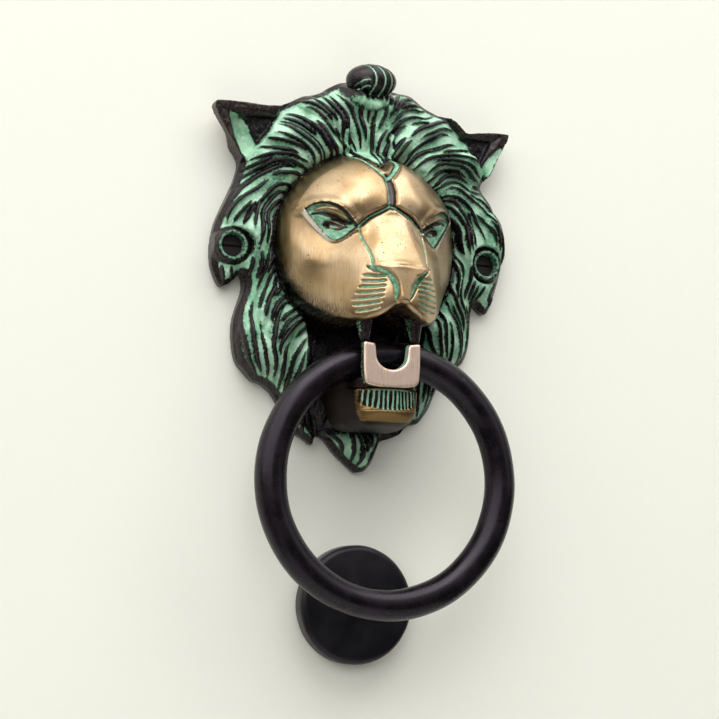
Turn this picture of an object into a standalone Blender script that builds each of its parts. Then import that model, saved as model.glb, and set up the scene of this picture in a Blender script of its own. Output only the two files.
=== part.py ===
"""Lion-head door knocker: a cast mask with a ring through its mouth, and a round strike plate below.

Metres, +Z up. The door's face is the plane Y = 0 and the lion looks along -Y. The origin is the
point of the door's face halfway between the two fixing screws of the mask.
"""

from math import asin, ceil, cos, hypot, pi, sin, sqrt

import bmesh
import bpy
from mathutils import Matrix, Vector

MM = 0.001
GAP = 0.3  # millimetres, kept between pieces that touch

# Ring, and the line that it swings about
RING_RADIUS = 46.0
TUBE_RADIUS = 5.85
RING_X = 2.5  # the ring lies a little to one side of its seat
PIVOT_Y = -30.1
PIVOT_Z = -41.8

# Mask
MASK_CENTRE_Z = -5.0
RIM_THICKNESS = 3.5
WALL = 4.0
INNER_SPREAD = 1.12
HOLLOW_LIMIT = 24.0
LAND_FRACTION = 0.93
BOSS_X = 52.6
BOSS_RADIUS = 7.0
BOSS_HEIGHT = 9.0
EAR_TIP = (61.0, 52.5)
BEARD_TIP_Z = -85.5
RIGHT_OUTLINE = [
    (0.0, 74.0), (7.0, 72.5), (10.0, 66.5), (19.0, 64.0), (30.0, 59.0), (40.0, 52.5), EAR_TIP,
    (52.0, 34.0), (57.0, 20.0), (61.5, 6.0), (61.5, -8.0), (57.0, -18.5), (50.5, -17.0),
    (49.5, -30.0), (49.5, -42.0), (46.0, -52.0), (36.0, -60.0), (29.0, -70.0), (14.0, -76.0),
    (0.0, BEARD_TIP_Z),
]
OUTLINE_STEP = 5.0
FRONT_RINGS = 16
HOLLOW_RINGS = 9

# Mouth
MOUTH_HALF_WIDTH = 15.0
MOUTH_TOP_Z = -31.5
MOUTH_BOTTOM_Z = -46.0
FANG_X = 10.2
FANG_Y = -40.6
FANG_TIP_Z = -37.2

# Lower jaw and the seat that it is screwed to
SEAT_Y = -12.0
SEAT_WALL = 4.0
SEAT_HALF_WIDTH = 17.0
SEAT_TOP_Z = -51.0
SEAT_BOTTOM_Z = -69.0
TEETH_HALF_WIDTH = 11.2
TEETH_FRONT_Y = -42.2
TEETH_BACK_Y = -38.6
TEETH_TOP_Z = -37.8
TEETH_BOTTOM_Z = -53.8
NOTCH_HALF_WIDTH = 5.8
NOTCH_BOTTOM_Z = -48.2
CHIN_BOTTOM_Z = -67.5

# Fasteners
JAW_SCREW_X = 9.0
JAW_SCREW_Z = -60.0
JAW_SCREW_RADIUS = 2.0
JAW_SCREW_END_Y = -21.0
SPOT_FACE_RADIUS = 6.0
WASHER_RADIUS = 4.5
WASHER_THICKNESS = 0.8
FIXING_RADIUS = 2.0
FIXING_HEAD_RADIUS = 4.2
FIXING_HEAD_FRONT_Y = -7.0
FIXING_CONE = 2.4
FIXING_END_Y = 24.0

# Strike plate
PLATE_Z = PIVOT_Z - 2 * RING_RADIUS
PLATE_RADIUS = 22.5
PLATE_THICKNESS = 9.0
PLATE_BEVEL = 1.6
STUD_RADIUS = 2.5
STUD_END_Y = 26.0


def clear_scene():
    for thing in list(bpy.data.objects):
        bpy.data.objects.remove(thing, do_unlink=True)


def material(name, colour, roughness, metallic):
    made = bpy.data.materials.new(name)
    made.use_nodes = True
    shader = made.node_tree.nodes["Principled BSDF"]
    shader.inputs["Base Color"].default_value = (*colour, 1.0)
    shader.inputs["Roughness"].default_value = roughness
    shader.inputs["Metallic"].default_value = metallic
    made.diffuse_color = (*colour, 1.0)
    return made


def object_from(bm, name, finish=None, origin=(0.0, 0.0, 0.0)):
    """An object from a bmesh in millimetres, with its origin at a world point in millimetres."""
    bmesh.ops.translate(bm, verts=bm.verts, vec=-Vector(origin))
    bmesh.ops.scale(bm, verts=bm.verts, vec=(MM, MM, MM))
    bmesh.ops.recalc_face_normals(bm, faces=bm.faces)
    mesh = bpy.data.meshes.new(name)
    bm.to_mesh(mesh)
    bm.free()
    made = bpy.data.objects.new(name, mesh)
    bpy.context.scene.collection.objects.link(made)
    made.location = Vector(origin) * MM
    if finish:
        mesh.materials.append(finish)
    return made


def cutter_from(bm, name):
    made = object_from(bm, name)
    made.hide_render = True
    made.display_type = "WIRE"
    return made


def combine(target, other, operation):
    boolean = target.modifiers.new(other.name, "BOOLEAN")
    boolean.operation = operation
    boolean.object = other


def turned_along_y(profile, x, z, steps=32):
    """A closed solid turned about a line along Y. The profile is (y, radius) points between its ends."""
    bm = bmesh.new()
    rings = []
    for y, radius in profile:
        turns = [2 * pi * k / steps for k in range(steps)]
        rings.append([bm.verts.new((x + radius * cos(t), y, z + radius * sin(t))) for t in turns])
    for first, second in zip(rings, rings[1:]):
        for k in range(steps):
            after = (k + 1) % steps
            bm.faces.new((first[k], first[after], second[after], second[k]))
    bm.faces.new(rings[0])
    bm.faces.new(rings[-1])
    return bm


def box(low, high):
    bm = bmesh.new()
    bmesh.ops.create_cube(bm, size=1.0)
    bmesh.ops.scale(bm, verts=bm.verts, vec=[b - a for a, b in zip(low, high)])
    bmesh.ops.translate(bm, verts=bm.verts, vec=[(a + b) / 2 for a, b in zip(low, high)])
    return bm


def rounded_bump(x, z, centre_z, half_x, half_z, height, power, shape):
    inside = 1 - abs(x / half_x) ** shape - abs((z - centre_z) / half_z) ** shape
    return height * inside**power if inside > 0 else 0.0


def mask_height(x, z, fraction):
    """How far the mask stands off the door, in millimetres. Fraction is 0 at its centre and 1 at its rim."""
    mane = RIM_THICKNESS + 14.5 * max(0.0, 1 - fraction**2) ** 0.6
    crest = RIM_THICKNESS + rounded_bump(x, z, 68.0, 12.0, 9.0, 15.0, 0.5, 2)
    lobes = rounded_bump(abs(x) - BOSS_X, z, 0.0, 12.0, 22.0, BOSS_HEIGHT + 1, 0.4, 2)
    face = rounded_bump(x, z, 8.0, 38.0, 36.0, 36.0, 0.42, 2)
    nose = rounded_bump(x, z, 0.0, 9.5, 19.0, 43.0, 0.3, 2)
    muzzle = rounded_bump(x, z, -16.0, 20.0, 16.5, 51.0, 0.3, 4)
    return max(mane, crest, lobes, face, nose, muzzle)


def mask_outline():
    """The outline's points once round, with no edge longer than the outline step."""
    left = [(-x, z) for x, z in reversed(RIGHT_OUTLINE[1:-1])]
    corners = RIGHT_OUTLINE + left
    points = []
    for (x0, z0), (x1, z1) in zip(corners, corners[1:] + corners[:1]):
        parts = ceil(hypot(x1 - x0, z1 - z0) / OUTLINE_STEP)
        points += [(x0 + (x1 - x0) * k / parts, z0 + (z1 - z0) * k / parts) for k in range(parts)]
    return points


def mask_ring(bm, outline, fraction, height_of):
    ring = []
    for x, z in outline:
        px = x * fraction
        pz = MASK_CENTRE_Z + (z - MASK_CENTRE_Z) * fraction
        ring.append(bm.verts.new((px, -height_of(px, pz, fraction), pz)))
    return ring


def hollow_depth(x, z, fraction):
    """The depth of the hollow back: the front there or further out, less the wall."""
    far_z = MASK_CENTRE_Z + (z - MASK_CENTRE_Z) * INNER_SPREAD
    far = min(1.0, fraction * INNER_SPREAD)
    front = min(mask_height(x, z, fraction), mask_height(x * INNER_SPREAD, far_z, far))
    return max(0.0, min(front - WALL, HOLLOW_LIMIT))


def mask_shell():
    """The hollow casting: a front surface, a flat rim on the door and a hollow behind the face."""
    bm = bmesh.new()
    outline = mask_outline()
    count = len(outline)
    rings = []
    for k in range(1, FRONT_RINGS + 1):
        rings.append(mask_ring(bm, outline, k / FRONT_RINGS, mask_height))
    rings.append(mask_ring(bm, outline, 1.0, lambda x, z, f: 0.0))
    for k in range(HOLLOW_RINGS, 0, -1):
        rings.append(mask_ring(bm, outline, LAND_FRACTION * k / HOLLOW_RINGS, hollow_depth))
    for first, second in zip(rings, rings[1:]):
        for k in range(count):
            after = (k + 1) % count
            bm.faces.new((first[k], first[after], second[after], second[k]))
    for ring, depth in ((rings[0], mask_height), (rings[-1], hollow_depth)):
        middle = bm.verts.new((0.0, -depth(0.0, MASK_CENTRE_Z, 0.0), MASK_CENTRE_Z))
        for k in range(count):
            bm.faces.new((middle, ring[k], ring[(k + 1) % count]))
    return bm


def fang(side):
    bm = bmesh.new()
    top_z = -23.0
    across = Matrix.Translation((side * FANG_X, FANG_Y, (top_z + FANG_TIP_Z) / 2))
    bmesh.ops.create_cone(
        bm, cap_ends=True, segments=16, radius1=1.3, radius2=2.7, depth=top_z - FANG_TIP_Z, matrix=across
    )
    return bm


def make_mask():
    finish = material("mask_bronze", (0.16, 0.11, 0.075), 0.45, 0.9)
    mask = object_from(mask_shell(), "lion_mask", finish)
    for side, word in ((-1, "left"), (1, "right")):
        boss = turned_along_y([(0.0, BOSS_RADIUS), (-BOSS_HEIGHT, BOSS_RADIUS)], side * BOSS_X, 0.0)
        combine(mask, cutter_from(boss, f"boss_{word}"), "UNION")
        combine(mask, cutter_from(fang(side), f"fang_{word}"), "UNION")
    seat_back = SEAT_Y + SEAT_WALL
    pad = box(
        (-SEAT_HALF_WIDTH - 1, SEAT_Y - 1, SEAT_BOTTOM_Z - 1), (SEAT_HALF_WIDTH + 1, seat_back, SEAT_TOP_Z + 3)
    )
    combine(mask, cutter_from(pad, "seat_pad"), "UNION")
    front = box(
        (-SEAT_HALF_WIDTH - GAP, -60.0, SEAT_BOTTOM_Z - GAP), (SEAT_HALF_WIDTH + GAP, SEAT_Y, SEAT_TOP_Z + GAP)
    )
    combine(mask, cutter_from(front, "seat_recess"), "DIFFERENCE")
    mouth = box(
        (-MOUTH_HALF_WIDTH, -40.0, MOUTH_BOTTOM_Z), (MOUTH_HALF_WIDTH, 5.0, MOUTH_TOP_Z)
    )
    combine(mask, cutter_from(mouth, "mouth_opening"), "DIFFERENCE")
    for side, word in ((-1, "left"), (1, "right")):
        drilled = turned_along_y(
            [
                (-30.0, FIXING_HEAD_RADIUS + 0.8),
                (FIXING_HEAD_FRONT_Y - GAP, FIXING_HEAD_RADIUS + 0.8),
                (FIXING_HEAD_FRONT_Y + FIXING_CONE + GAP, FIXING_RADIUS + 0.5),
                (5.0, FIXING_RADIUS + 0.5),
            ],
            side * BOSS_X,
            0.0,
        )
        combine(mask, cutter_from(drilled, f"fixing_hole_{word}"), "DIFFERENCE")
        screw_hole = turned_along_y(
            [
                (-30.0, JAW_SCREW_RADIUS + GAP),
                (seat_back, JAW_SCREW_RADIUS + GAP),
                (seat_back, SPOT_FACE_RADIUS),
                (5.0, SPOT_FACE_RADIUS),
            ],
            side * JAW_SCREW_X,
            JAW_SCREW_Z,
        )
        combine(mask, cutter_from(screw_hole, f"jaw_screw_hole_{word}"), "DIFFERENCE")


def ring_clearance(x):
    """How near the pivot line a fixed piece may come, at x from the ring's centre, as it swings past."""
    centre_drop = RING_RADIUS - sqrt(RING_RADIUS**2 - x**2)
    return centre_drop + TUBE_RADIUS / cos(asin(x / RING_RADIUS)) + 2 * GAP


def ring_path():
    """What the top of the ring sweeps, as one solid turned about the pivot line."""
    bm = bmesh.new()
    steps = 48
    rings = []
    for k in range(-12, 13):
        x = 2.0 * k
        around = [(2 * pi * j / steps) for j in range(steps)]
        reach = ring_clearance(x)
        rings.append(
            [bm.verts.new((RING_X + x, PIVOT_Y + reach * cos(t), PIVOT_Z + reach * sin(t))) for t in around]
        )
    for first, second in zip(rings, rings[1:]):
        for j in range(steps):
            after = (j + 1) % steps
            bm.faces.new((first[j], first[after], second[after], second[j]))
    bm.faces.new(rings[0])
    bm.faces.new(rings[-1])
    return bm


def jaw_section(bm, y, half_top, half_bottom, top_z, bottom_z):
    """A rounded trapezium across the jaw, as a ring of points."""
    middle = (top_z + bottom_z) / 2
    outline = [
        (half_top * 0.8, top_z), (half_top, top_z - 1.5), ((half_top + half_bottom) / 2, middle),
        (half_bottom, bottom_z + 3.0), (half_bottom * 0.6, bottom_z),
    ]
    points = outline + [(-x, z) for x, z in reversed(outline)]
    return [bm.verts.new((x, y, z)) for x, z in points]


def jaw_body():
    bm = bmesh.new()
    back = SEAT_Y - GAP
    rings = [
        jaw_section(bm, back, SEAT_HALF_WIDTH, SEAT_HALF_WIDTH, SEAT_TOP_Z, SEAT_BOTTOM_Z),
        jaw_section(bm, -22.0, 15.5, 15.0, SEAT_TOP_Z, SEAT_BOTTOM_Z),
        jaw_section(bm, -32.0, 12.5, 12.0, -49.5, CHIN_BOTTOM_Z),
        jaw_section(bm, TEETH_BACK_Y, TEETH_HALF_WIDTH, 10.5, -50.0, CHIN_BOTTOM_Z),
        jaw_section(bm, TEETH_FRONT_Y - 0.8, 10.2, 8.5, -54.0, CHIN_BOTTOM_Z + 1.0),
    ]
    for first, second in zip(rings, rings[1:]):
        for k in range(len(first)):
            after = (k + 1) % len(first)
            bm.faces.new((first[k], first[after], second[after], second[k]))
    bm.faces.new(rings[0])
    bm.faces.new(rings[-1])
    return bm


def make_lower_jaw():
    finish = material("jaw_bronze", (0.42, 0.27, 0.2), 0.35, 0.9)
    jaw = object_from(jaw_body(), "lower_jaw", finish)
    teeth = box(
        (-TEETH_HALF_WIDTH, TEETH_FRONT_Y, TEETH_BOTTOM_Z), (TEETH_HALF_WIDTH, TEETH_BACK_Y, TEETH_TOP_Z)
    )
    combine(jaw, cutter_from(teeth, "canine_block"), "UNION")
    combine(jaw, cutter_from(ring_path(), "ring_path"), "DIFFERENCE")
    slot_low = (-NOTCH_HALF_WIDTH, TEETH_FRONT_Y - 5, NOTCH_BOTTOM_Z + NOTCH_HALF_WIDTH)
    slot = box(slot_low, (NOTCH_HALF_WIDTH, TEETH_BACK_Y + 2, TEETH_TOP_Z + 5))
    combine(jaw, cutter_from(slot, "notch_slot"), "DIFFERENCE")
    notch_profile = [(TEETH_FRONT_Y - 5, NOTCH_HALF_WIDTH), (TEETH_BACK_Y + 2, NOTCH_HALF_WIDTH)]
    notch = turned_along_y(notch_profile, 0.0, NOTCH_BOTTOM_Z + NOTCH_HALF_WIDTH)
    combine(jaw, cutter_from(notch, "notch_round"), "DIFFERENCE")
    for side, word in ((-1, "left"), (1, "right")):
        tapped = [(JAW_SCREW_END_Y - 1.0, JAW_SCREW_RADIUS + GAP), (5.0, JAW_SCREW_RADIUS + GAP)]
        hole = turned_along_y(tapped, side * JAW_SCREW_X, JAW_SCREW_Z)
        combine(jaw, cutter_from(hole, f"tapped_hole_{word}"), "DIFFERENCE")


def make_jaw_fasteners():
    steel = material("screw_steel", (0.45, 0.44, 0.42), 0.35, 1.0)
    inner_face = SEAT_Y + SEAT_WALL
    washer_front = inner_face + GAP
    washer_back = washer_front + WASHER_THICKNESS
    head_front = washer_back + GAP
    for side, word in ((-1, "left"), (1, "right")):
        place = (side * JAW_SCREW_X, JAW_SCREW_Z)
        washer = object_from(
            turned_along_y([(washer_front, WASHER_RADIUS), (washer_back, WASHER_RADIUS)], *place),
            f"jaw_washer_{word}",
            steel,
        )
        hole = turned_along_y([(-30.0, JAW_SCREW_RADIUS + GAP), (5.0, JAW_SCREW_RADIUS + GAP)], *place)
        combine(washer, cutter_from(hole, f"washer_hole_{word}"), "DIFFERENCE")
        screw = object_from(
            turned_along_y(
                [
                    (JAW_SCREW_END_Y, JAW_SCREW_RADIUS - 0.5),
                    (JAW_SCREW_END_Y + 0.5, JAW_SCREW_RADIUS),
                    (head_front, JAW_SCREW_RADIUS),
                    (head_front, 3.6),
                    (head_front + 1.6, 3.4),
                    (head_front + 2.4, 2.2),
                ],
                *place,
            ),
            f"jaw_screw_{word}",
            steel,
        )
        slot_low = (place[0] - 5.0, head_front + 1.4, JAW_SCREW_Z - 0.5)
        slot = box(slot_low, (place[0] + 5.0, head_front + 5.0, JAW_SCREW_Z + 0.5))
        combine(screw, cutter_from(slot, f"jaw_screw_slot_{word}"), "DIFFERENCE")


def make_fixing_screws():
    steel = material("fixing_steel", (0.2, 0.2, 0.2), 0.45, 1.0)
    for side, word in ((-1, "left"), (1, "right")):
        screw = object_from(
            turned_along_y(
                [
                    (FIXING_HEAD_FRONT_Y, FIXING_HEAD_RADIUS),
                    (FIXING_HEAD_FRONT_Y + 0.4, FIXING_HEAD_RADIUS),
                    (FIXING_HEAD_FRONT_Y + FIXING_CONE, FIXING_RADIUS),
                    (FIXING_END_Y - 4.0, FIXING_RADIUS),
                    (FIXING_END_Y, 0.3),
                ],
                side * BOSS_X,
                0.0,
            ),
            f"fixing_screw_{word}",
            steel,
        )
        slot_low = (side * BOSS_X - 6.0, FIXING_HEAD_FRONT_Y - 3.0, -0.5)
        slot = box(slot_low, (side * BOSS_X + 6.0, FIXING_HEAD_FRONT_Y + 1.1, 0.5))
        combine(screw, cutter_from(slot, f"fixing_slot_{word}"), "DIFFERENCE")


def make_ring():
    """The ring, with its origin on the line that it swings about."""
    bm = bmesh.new()
    along, around = 88, 18
    rings = []
    for k in range(along):
        turn = 2 * pi * k / along
        ring = []
        for j in range(around):
            tube = 2 * pi * j / around
            reach = RING_RADIUS + TUBE_RADIUS * cos(tube)
            y = PIVOT_Y + TUBE_RADIUS * sin(tube)
            z = PIVOT_Z - RING_RADIUS + reach * cos(turn)
            ring.append(bm.verts.new((RING_X + reach * sin(turn), y, z)))
        rings.append(ring)
    for first, second in zip(rings, rings[1:] + rings[:1]):
        for j in range(around):
            after = (j + 1) % around
            bm.faces.new((first[j], first[after], second[after], second[j]))
    finish = material("ring_iron", (0.02, 0.015, 0.02), 0.4, 0.8)
    object_from(bm, "knocker_ring", finish, (RING_X, PIVOT_Y, PIVOT_Z))


def make_strike_plate():
    finish = material("plate_iron", (0.03, 0.03, 0.033), 0.5, 0.8)
    profile = [
        (0.0, PLATE_RADIUS),
        (-PLATE_THICKNESS + PLATE_BEVEL, PLATE_RADIUS),
        (-PLATE_THICKNESS + 0.3 * PLATE_BEVEL, PLATE_RADIUS - 0.3 * PLATE_BEVEL),
        (-PLATE_THICKNESS, PLATE_RADIUS - PLATE_BEVEL),
    ]
    plate = object_from(turned_along_y(profile, 0.0, PLATE_Z, 64), "strike_plate", finish)
    socket = turned_along_y([(-6.0, STUD_RADIUS + GAP), (5.0, STUD_RADIUS + GAP)], 0.0, PLATE_Z)
    combine(plate, cutter_from(socket, "stud_socket"), "DIFFERENCE")
    steel = material("stud_steel", (0.5, 0.49, 0.46), 0.4, 1.0)
    stud = [
        (-6.0 + GAP, STUD_RADIUS),
        (STUD_END_Y - 5.0, STUD_RADIUS),
        (STUD_END_Y, 0.4),
    ]
    object_from(turned_along_y(stud, 0.0, PLATE_Z), "strike_stud", steel)


def main():
    clear_scene()
    make_mask()
    make_lower_jaw()
    make_jaw_fasteners()
    make_fixing_screws()
    make_ring()
    make_strike_plate()


main()
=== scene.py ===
"""Looks of the lion-head door knocker: the carved mask, its jaw, ring, plate and fasteners.

Shapes are worked out in millimetres, with x to the right, z up and p the height off the door.
"""

import bmesh
import bpy
import numpy as np
from mathutils import Matrix, Vector


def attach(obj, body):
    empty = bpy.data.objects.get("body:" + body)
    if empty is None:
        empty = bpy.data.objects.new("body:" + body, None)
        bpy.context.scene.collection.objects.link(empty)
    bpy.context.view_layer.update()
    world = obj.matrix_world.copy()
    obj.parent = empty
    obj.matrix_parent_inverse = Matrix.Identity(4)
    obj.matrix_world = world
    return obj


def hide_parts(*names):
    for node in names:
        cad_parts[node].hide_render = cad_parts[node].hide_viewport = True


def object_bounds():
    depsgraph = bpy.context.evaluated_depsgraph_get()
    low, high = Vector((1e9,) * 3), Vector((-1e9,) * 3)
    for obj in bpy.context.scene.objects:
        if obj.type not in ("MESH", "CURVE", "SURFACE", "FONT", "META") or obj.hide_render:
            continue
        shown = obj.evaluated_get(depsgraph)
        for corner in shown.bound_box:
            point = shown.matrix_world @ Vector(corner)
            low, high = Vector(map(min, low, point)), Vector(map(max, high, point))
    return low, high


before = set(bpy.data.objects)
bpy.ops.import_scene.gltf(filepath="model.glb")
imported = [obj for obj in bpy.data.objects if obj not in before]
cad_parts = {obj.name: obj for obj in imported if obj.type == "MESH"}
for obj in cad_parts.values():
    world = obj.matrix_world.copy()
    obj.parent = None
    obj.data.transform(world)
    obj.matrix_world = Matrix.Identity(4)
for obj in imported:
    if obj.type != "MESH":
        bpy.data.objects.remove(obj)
cad_low, cad_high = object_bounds()
MM = 0.001

# Places that more than one shape needs
LOBE_X = 52.6
EAR_BOTTOM_Z = 33.0
CANINE_MIDDLE_X, CANINE_X = -0.8, 10.0
MOUTH_FLOOR = 3.9
JAW_SCREW_X, JAW_SCREW_Z, JAW_SCREW_HOLE = 9.0, -60.0, 2.4
RING_X, PIVOT_P, PIVOT_Z = 2.5, 30.1, -41.8
RING_RADIUS, TUBE_RADIUS = 46.0, 5.85
PLATE_Z = -133.8

# The mask's outline from the crest down to the beard, on the right and on the left, both with x positive
OUTLINE = [
    (0, 67.5), (8, 68.2), (15, 67.4), (22.5, 66), (28, 62.4), (36, 59), (40, 56), (43.6, 52.6), (48, 52.8),
    (54.3, 53.4), (60.4, 53.4), (61.6, 52.4), (59.6, 47), (55.2, 37.8), (52.6, 31.8), (56.8, 26.2),
    (59.3, 21), (61.4, 15.6), (62.2, 9), (61.8, 0), (58.6, -11.4), (55.8, -18), (53.4, -18.7),
    (49.6, -15.6), (48.4, -20.8), (47.6, -31.9), (44.9, -39), (40.6, -42), (35.4, -47.6), (32, -52.2),
    (29.6, -58.6), (26, -63.6), (22.4, -64.6), (19.4, -68), (14.4, -70), (10, -71.6), (8, -76), (6, -80.4),
    (3.4, -83), (0, -83.6),
]
OUTLINE_LEFT = [
    (0, 67.5), (5.5, 69.2), (9.6, 68), (13.5, 65.8), (17, 63.4), (24, 61.3), (32.6, 56.8), (38, 55.2),
    (48, 55.2), (58.6, 54.9), (61, 53.8), (60.2, 50.4), (54.6, 41.6), (49.4, 34.4), (49.8, 28.6),
    (52.4, 21.9), (55.4, 15.3), (58, 8.7), (59.4, 1.2), (59.2, -6.2), (57.8, -10.8), (55.4, -14.8),
    (51.8, -13.6), (47.8, -10), (46.6, -13), (46.8, -16.8), (48.6, -22.2), (50.2, -28.7), (50, -37),
    (48.5, -43.2), (46, -46.4), (42.4, -50), (38.6, -51.2), (34, -55), (30.4, -61), (27.4, -66.6),
    (24, -69.8), (21, -71.4), (17.9, -73.6), (16.4, -70.4), (13, -71.2), (8.8, -76), (4.2, -80.3),
    (0, -83.6),
]

# Which way the hair runs, on the right: x, z, then the direction
HAIR_FLOW = [
    (0, 26, 0, 1), (0, 42, 0, 1), (0, 58, 0, 1), (6, 33, 0.3, 1), (8, 48, 0.35, 1), (13, 60, 0.9, 0.7),
    (14, 37, 0.5, 1), (19, 49, 0.95, 0.8), (27, 57, 1, 0), (22, 35, 0.9, 0.8), (30, 45, 1, 0.3),
    (37, 51, 1, -0.25), (28, 30, 1, 0.6), (38, 38, 1, 0), (47, 43, 1, 0), (33, 25, 1, 0.2),
    (42, 30, 1, -0.25), (50, 35, 1, -0.4), (37, 17, 0.85, -0.55), (46, 23, 0.85, -0.6), (54, 22, 0.4, -1),
    (38, 7, 0.45, -1), (46, 11, 0.35, -1), (59, 8, 0.1, -1), (38, -4, 0.25, -1), (46, -6, -0.1, -1),
    (60, -8, -0.2, -1), (37, -14, 0.35, -1), (44, -20, 0.3, -1), (54, -14, -0.35, -1), (33, -24, 0.5, -1),
    (42, -32, 0.3, -1), (48, -38, 0, -1), (28, -34, 0.45, -1), (38, -44, -0.05, -1), (45, -50, -0.4, -1),
    (23, -44, 0.2, -1), (32, -56, -0.35, -1), (19, -56, 0.1, -1), (25, -66, -0.3, -1), (12, -68, -0.35, -1),
    (16, -74, -0.7, -1), (0, -70, 0, -1), (0, -82, 0, -1), (8, -78, -0.3, -1),
]


# ---------------------------------------------------------------- numbers over the plane


def lattice_noise(x, z, size, seed):
    """Smooth noise from -1 to 1, with features about this size."""
    table = np.random.default_rng(seed).uniform(-1, 1, (96, 96))
    u = x / size + 40.0
    v = z / size + 40.0
    i = np.floor(u).astype(int)
    j = np.floor(v).astype(int)
    fu = u - i
    fv = v - j
    fu = fu * fu * (3 - 2 * fu)
    fv = fv * fv * (3 - 2 * fv)
    i0, i1 = i % 96, (i + 1) % 96
    j0, j1 = j % 96, (j + 1) % 96
    low = table[i0, j0] * (1 - fu) + table[i1, j0] * fu
    high = table[i0, j1] * (1 - fu) + table[i1, j1] * fu
    return low * (1 - fv) + high * fv


def ramp(value, low, high):
    t = np.clip((value - low) / (high - low), 0.0, 1.0)
    return t * t * (3 - 2 * t)


def smooth_max(a, b, k):
    h = np.clip(0.5 + 0.5 * (a - b) / k, 0.0, 1.0)
    return b + (a - b) * h + k * h * (1 - h)


def to_path(x, z, points):
    """Distance from (x, z) to an open line of points, and how far along it the nearest place is, 0 to 1."""
    points = np.asarray(points, float)
    lengths = np.hypot(*(points[1:] - points[:-1]).T)
    total = lengths.sum()
    best = np.full(np.shape(x), 1e9)
    place = np.zeros(np.shape(x))
    start = 0.0
    for (ax, az), (bx, bz), length in zip(points[:-1], points[1:], lengths):
        t = np.clip(((x - ax) * (bx - ax) + (z - az) * (bz - az)) / length**2, 0, 1)
        d = np.hypot(x - ax - t * (bx - ax), z - az - t * (bz - az))
        nearer = d < best
        best = np.where(nearer, d, best)
        place = np.where(nearer, (start + t * length) / total, place)
        start += length
    return best, place


def inside_polygon(x, z, points):
    inside = np.zeros(np.shape(x), bool)
    for (ax, az), (bx, bz) in zip(points, points[1:] + points[:1]):
        if az == bz:
            continue
        crosses = (az > z) != (bz > z)
        at = ax + (z - az) * (bx - ax) / (bz - az)
        inside ^= crosses & (x < at)
    return inside


def depth_inside(x, z, points):
    """Distance in from a closed outline, negative outside it."""
    points = [tuple(p) for p in points]
    d, _ = to_path(x, z, points + points[:1])
    return np.where(inside_polygon(x, z, points), d, -d)


def rounded_line(corners, each=4):
    """A smooth line through the corners (Catmull-Rom)."""
    c = np.asarray([corners[0]] + list(corners) + [corners[-1]], float)
    out = []
    for a, b, e, f in zip(c[:-3], c[1:-2], c[2:-1], c[3:]):
        slope, bend, twist = e - a, 2 * a - 5 * b + 4 * e - f, 3 * b - a - 3 * e + f
        for t in np.arange(each) / each:
            out.append(0.5 * (2 * b + slope * t + bend * t**2 + twist * t**3))
    out.append(c[-1])
    return np.array(out)


def closed_outline(right, left, each):
    """Down the right side and up the left. Both sides are given with x positive."""
    right = [tuple(p) for p in rounded_line(right, each)]
    left = [(-x, z) for x, z in rounded_line(left, each)]
    return right + left[-2:0:-1]


MASK_OUTLINE = closed_outline(OUTLINE, OUTLINE_LEFT, 3)


# ---------------------------------------------------------------- hair


# The grid that the mask's fields are kept on: where it starts, its step and its size
GRID_X, GRID_Z, STEP = -65.0, -90.0, 0.4
GRID_SHAPE = (326, 420)


def grid_cell(x, z):
    return int(round((x - GRID_X) / STEP)), int(round((z - GRID_Z) / STEP))


def hair_directions(x, z):
    """The direction of the hair as an angle, the same on both sides but for a slow wave."""
    ax = np.abs(x)
    along_x = np.zeros(np.shape(x))
    along_z = np.zeros(np.shape(x))
    for cx, cz, ux, uz in HAIR_FLOW:
        weight = 1.0 / ((ax - cx) ** 2 + (z - cz) ** 2 + 6.0) ** 2
        along_x += weight * ux / np.hypot(ux, uz)
        along_z += weight * uz / np.hypot(ux, uz)
    angle = np.arctan2(along_z, along_x * np.where(x < 0, -1.0, 1.0))
    return angle + 0.50 * lattice_noise(x, z, 10.0, 3) + 0.20 * lattice_noise(x, z, 4.5, 4)


def hair_lines(allowed, angles, spacing, longest, seed):
    """Evenly spaced lines along the hair's direction, inside the allowed cells."""
    picker = np.random.default_rng(seed)
    step = 0.5
    radius = int(round(spacing / STEP))
    taken = np.full((angles.shape[0] + 2 * radius, angles.shape[1] + 2 * radius), -1, int)
    reach = np.arange(-radius, radius + 1)
    squares = reach[:, None] ** 2 + reach[None, :] ** 2
    apart = squares <= radius**2
    close = squares <= (0.60 * radius) ** 2

    def free(x, z, around, mine):
        i, j = grid_cell(x, z)
        held = taken[i:i + 2 * radius + 1, j:j + 2 * radius + 1]
        return not ((held >= 0) & (held != mine) & around).any()

    lines = []
    for sx, sz in picker.uniform((-61, -86), (61, 70), (5200, 2)):
        if not allowed[grid_cell(sx, sz)] or not free(sx, sz, apart, -2):
            continue
        halves = []
        for way in (1.0, -1.0):
            x, z = sx, sz
            points = []
            for _ in range(int(longest * picker.uniform(0.35, 0.6) / step)):
                angle = angles[grid_cell(x, z)]
                x += way * step * np.cos(angle)
                z += way * step * np.sin(angle)
                if not allowed[grid_cell(x, z)] or not free(x, z, close, len(lines)):
                    break
                points.append((x, z))
            halves.append(points)
        line = halves[1][::-1] + [(sx, sz)] + halves[0]
        if len(line) * step < 2.0 * spacing:
            continue
        for x, z in line:
            i, j = grid_cell(x, z)
            taken[i + radius, j + radius] = len(lines)
        lines.append(np.array(line))
    return lines


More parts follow.
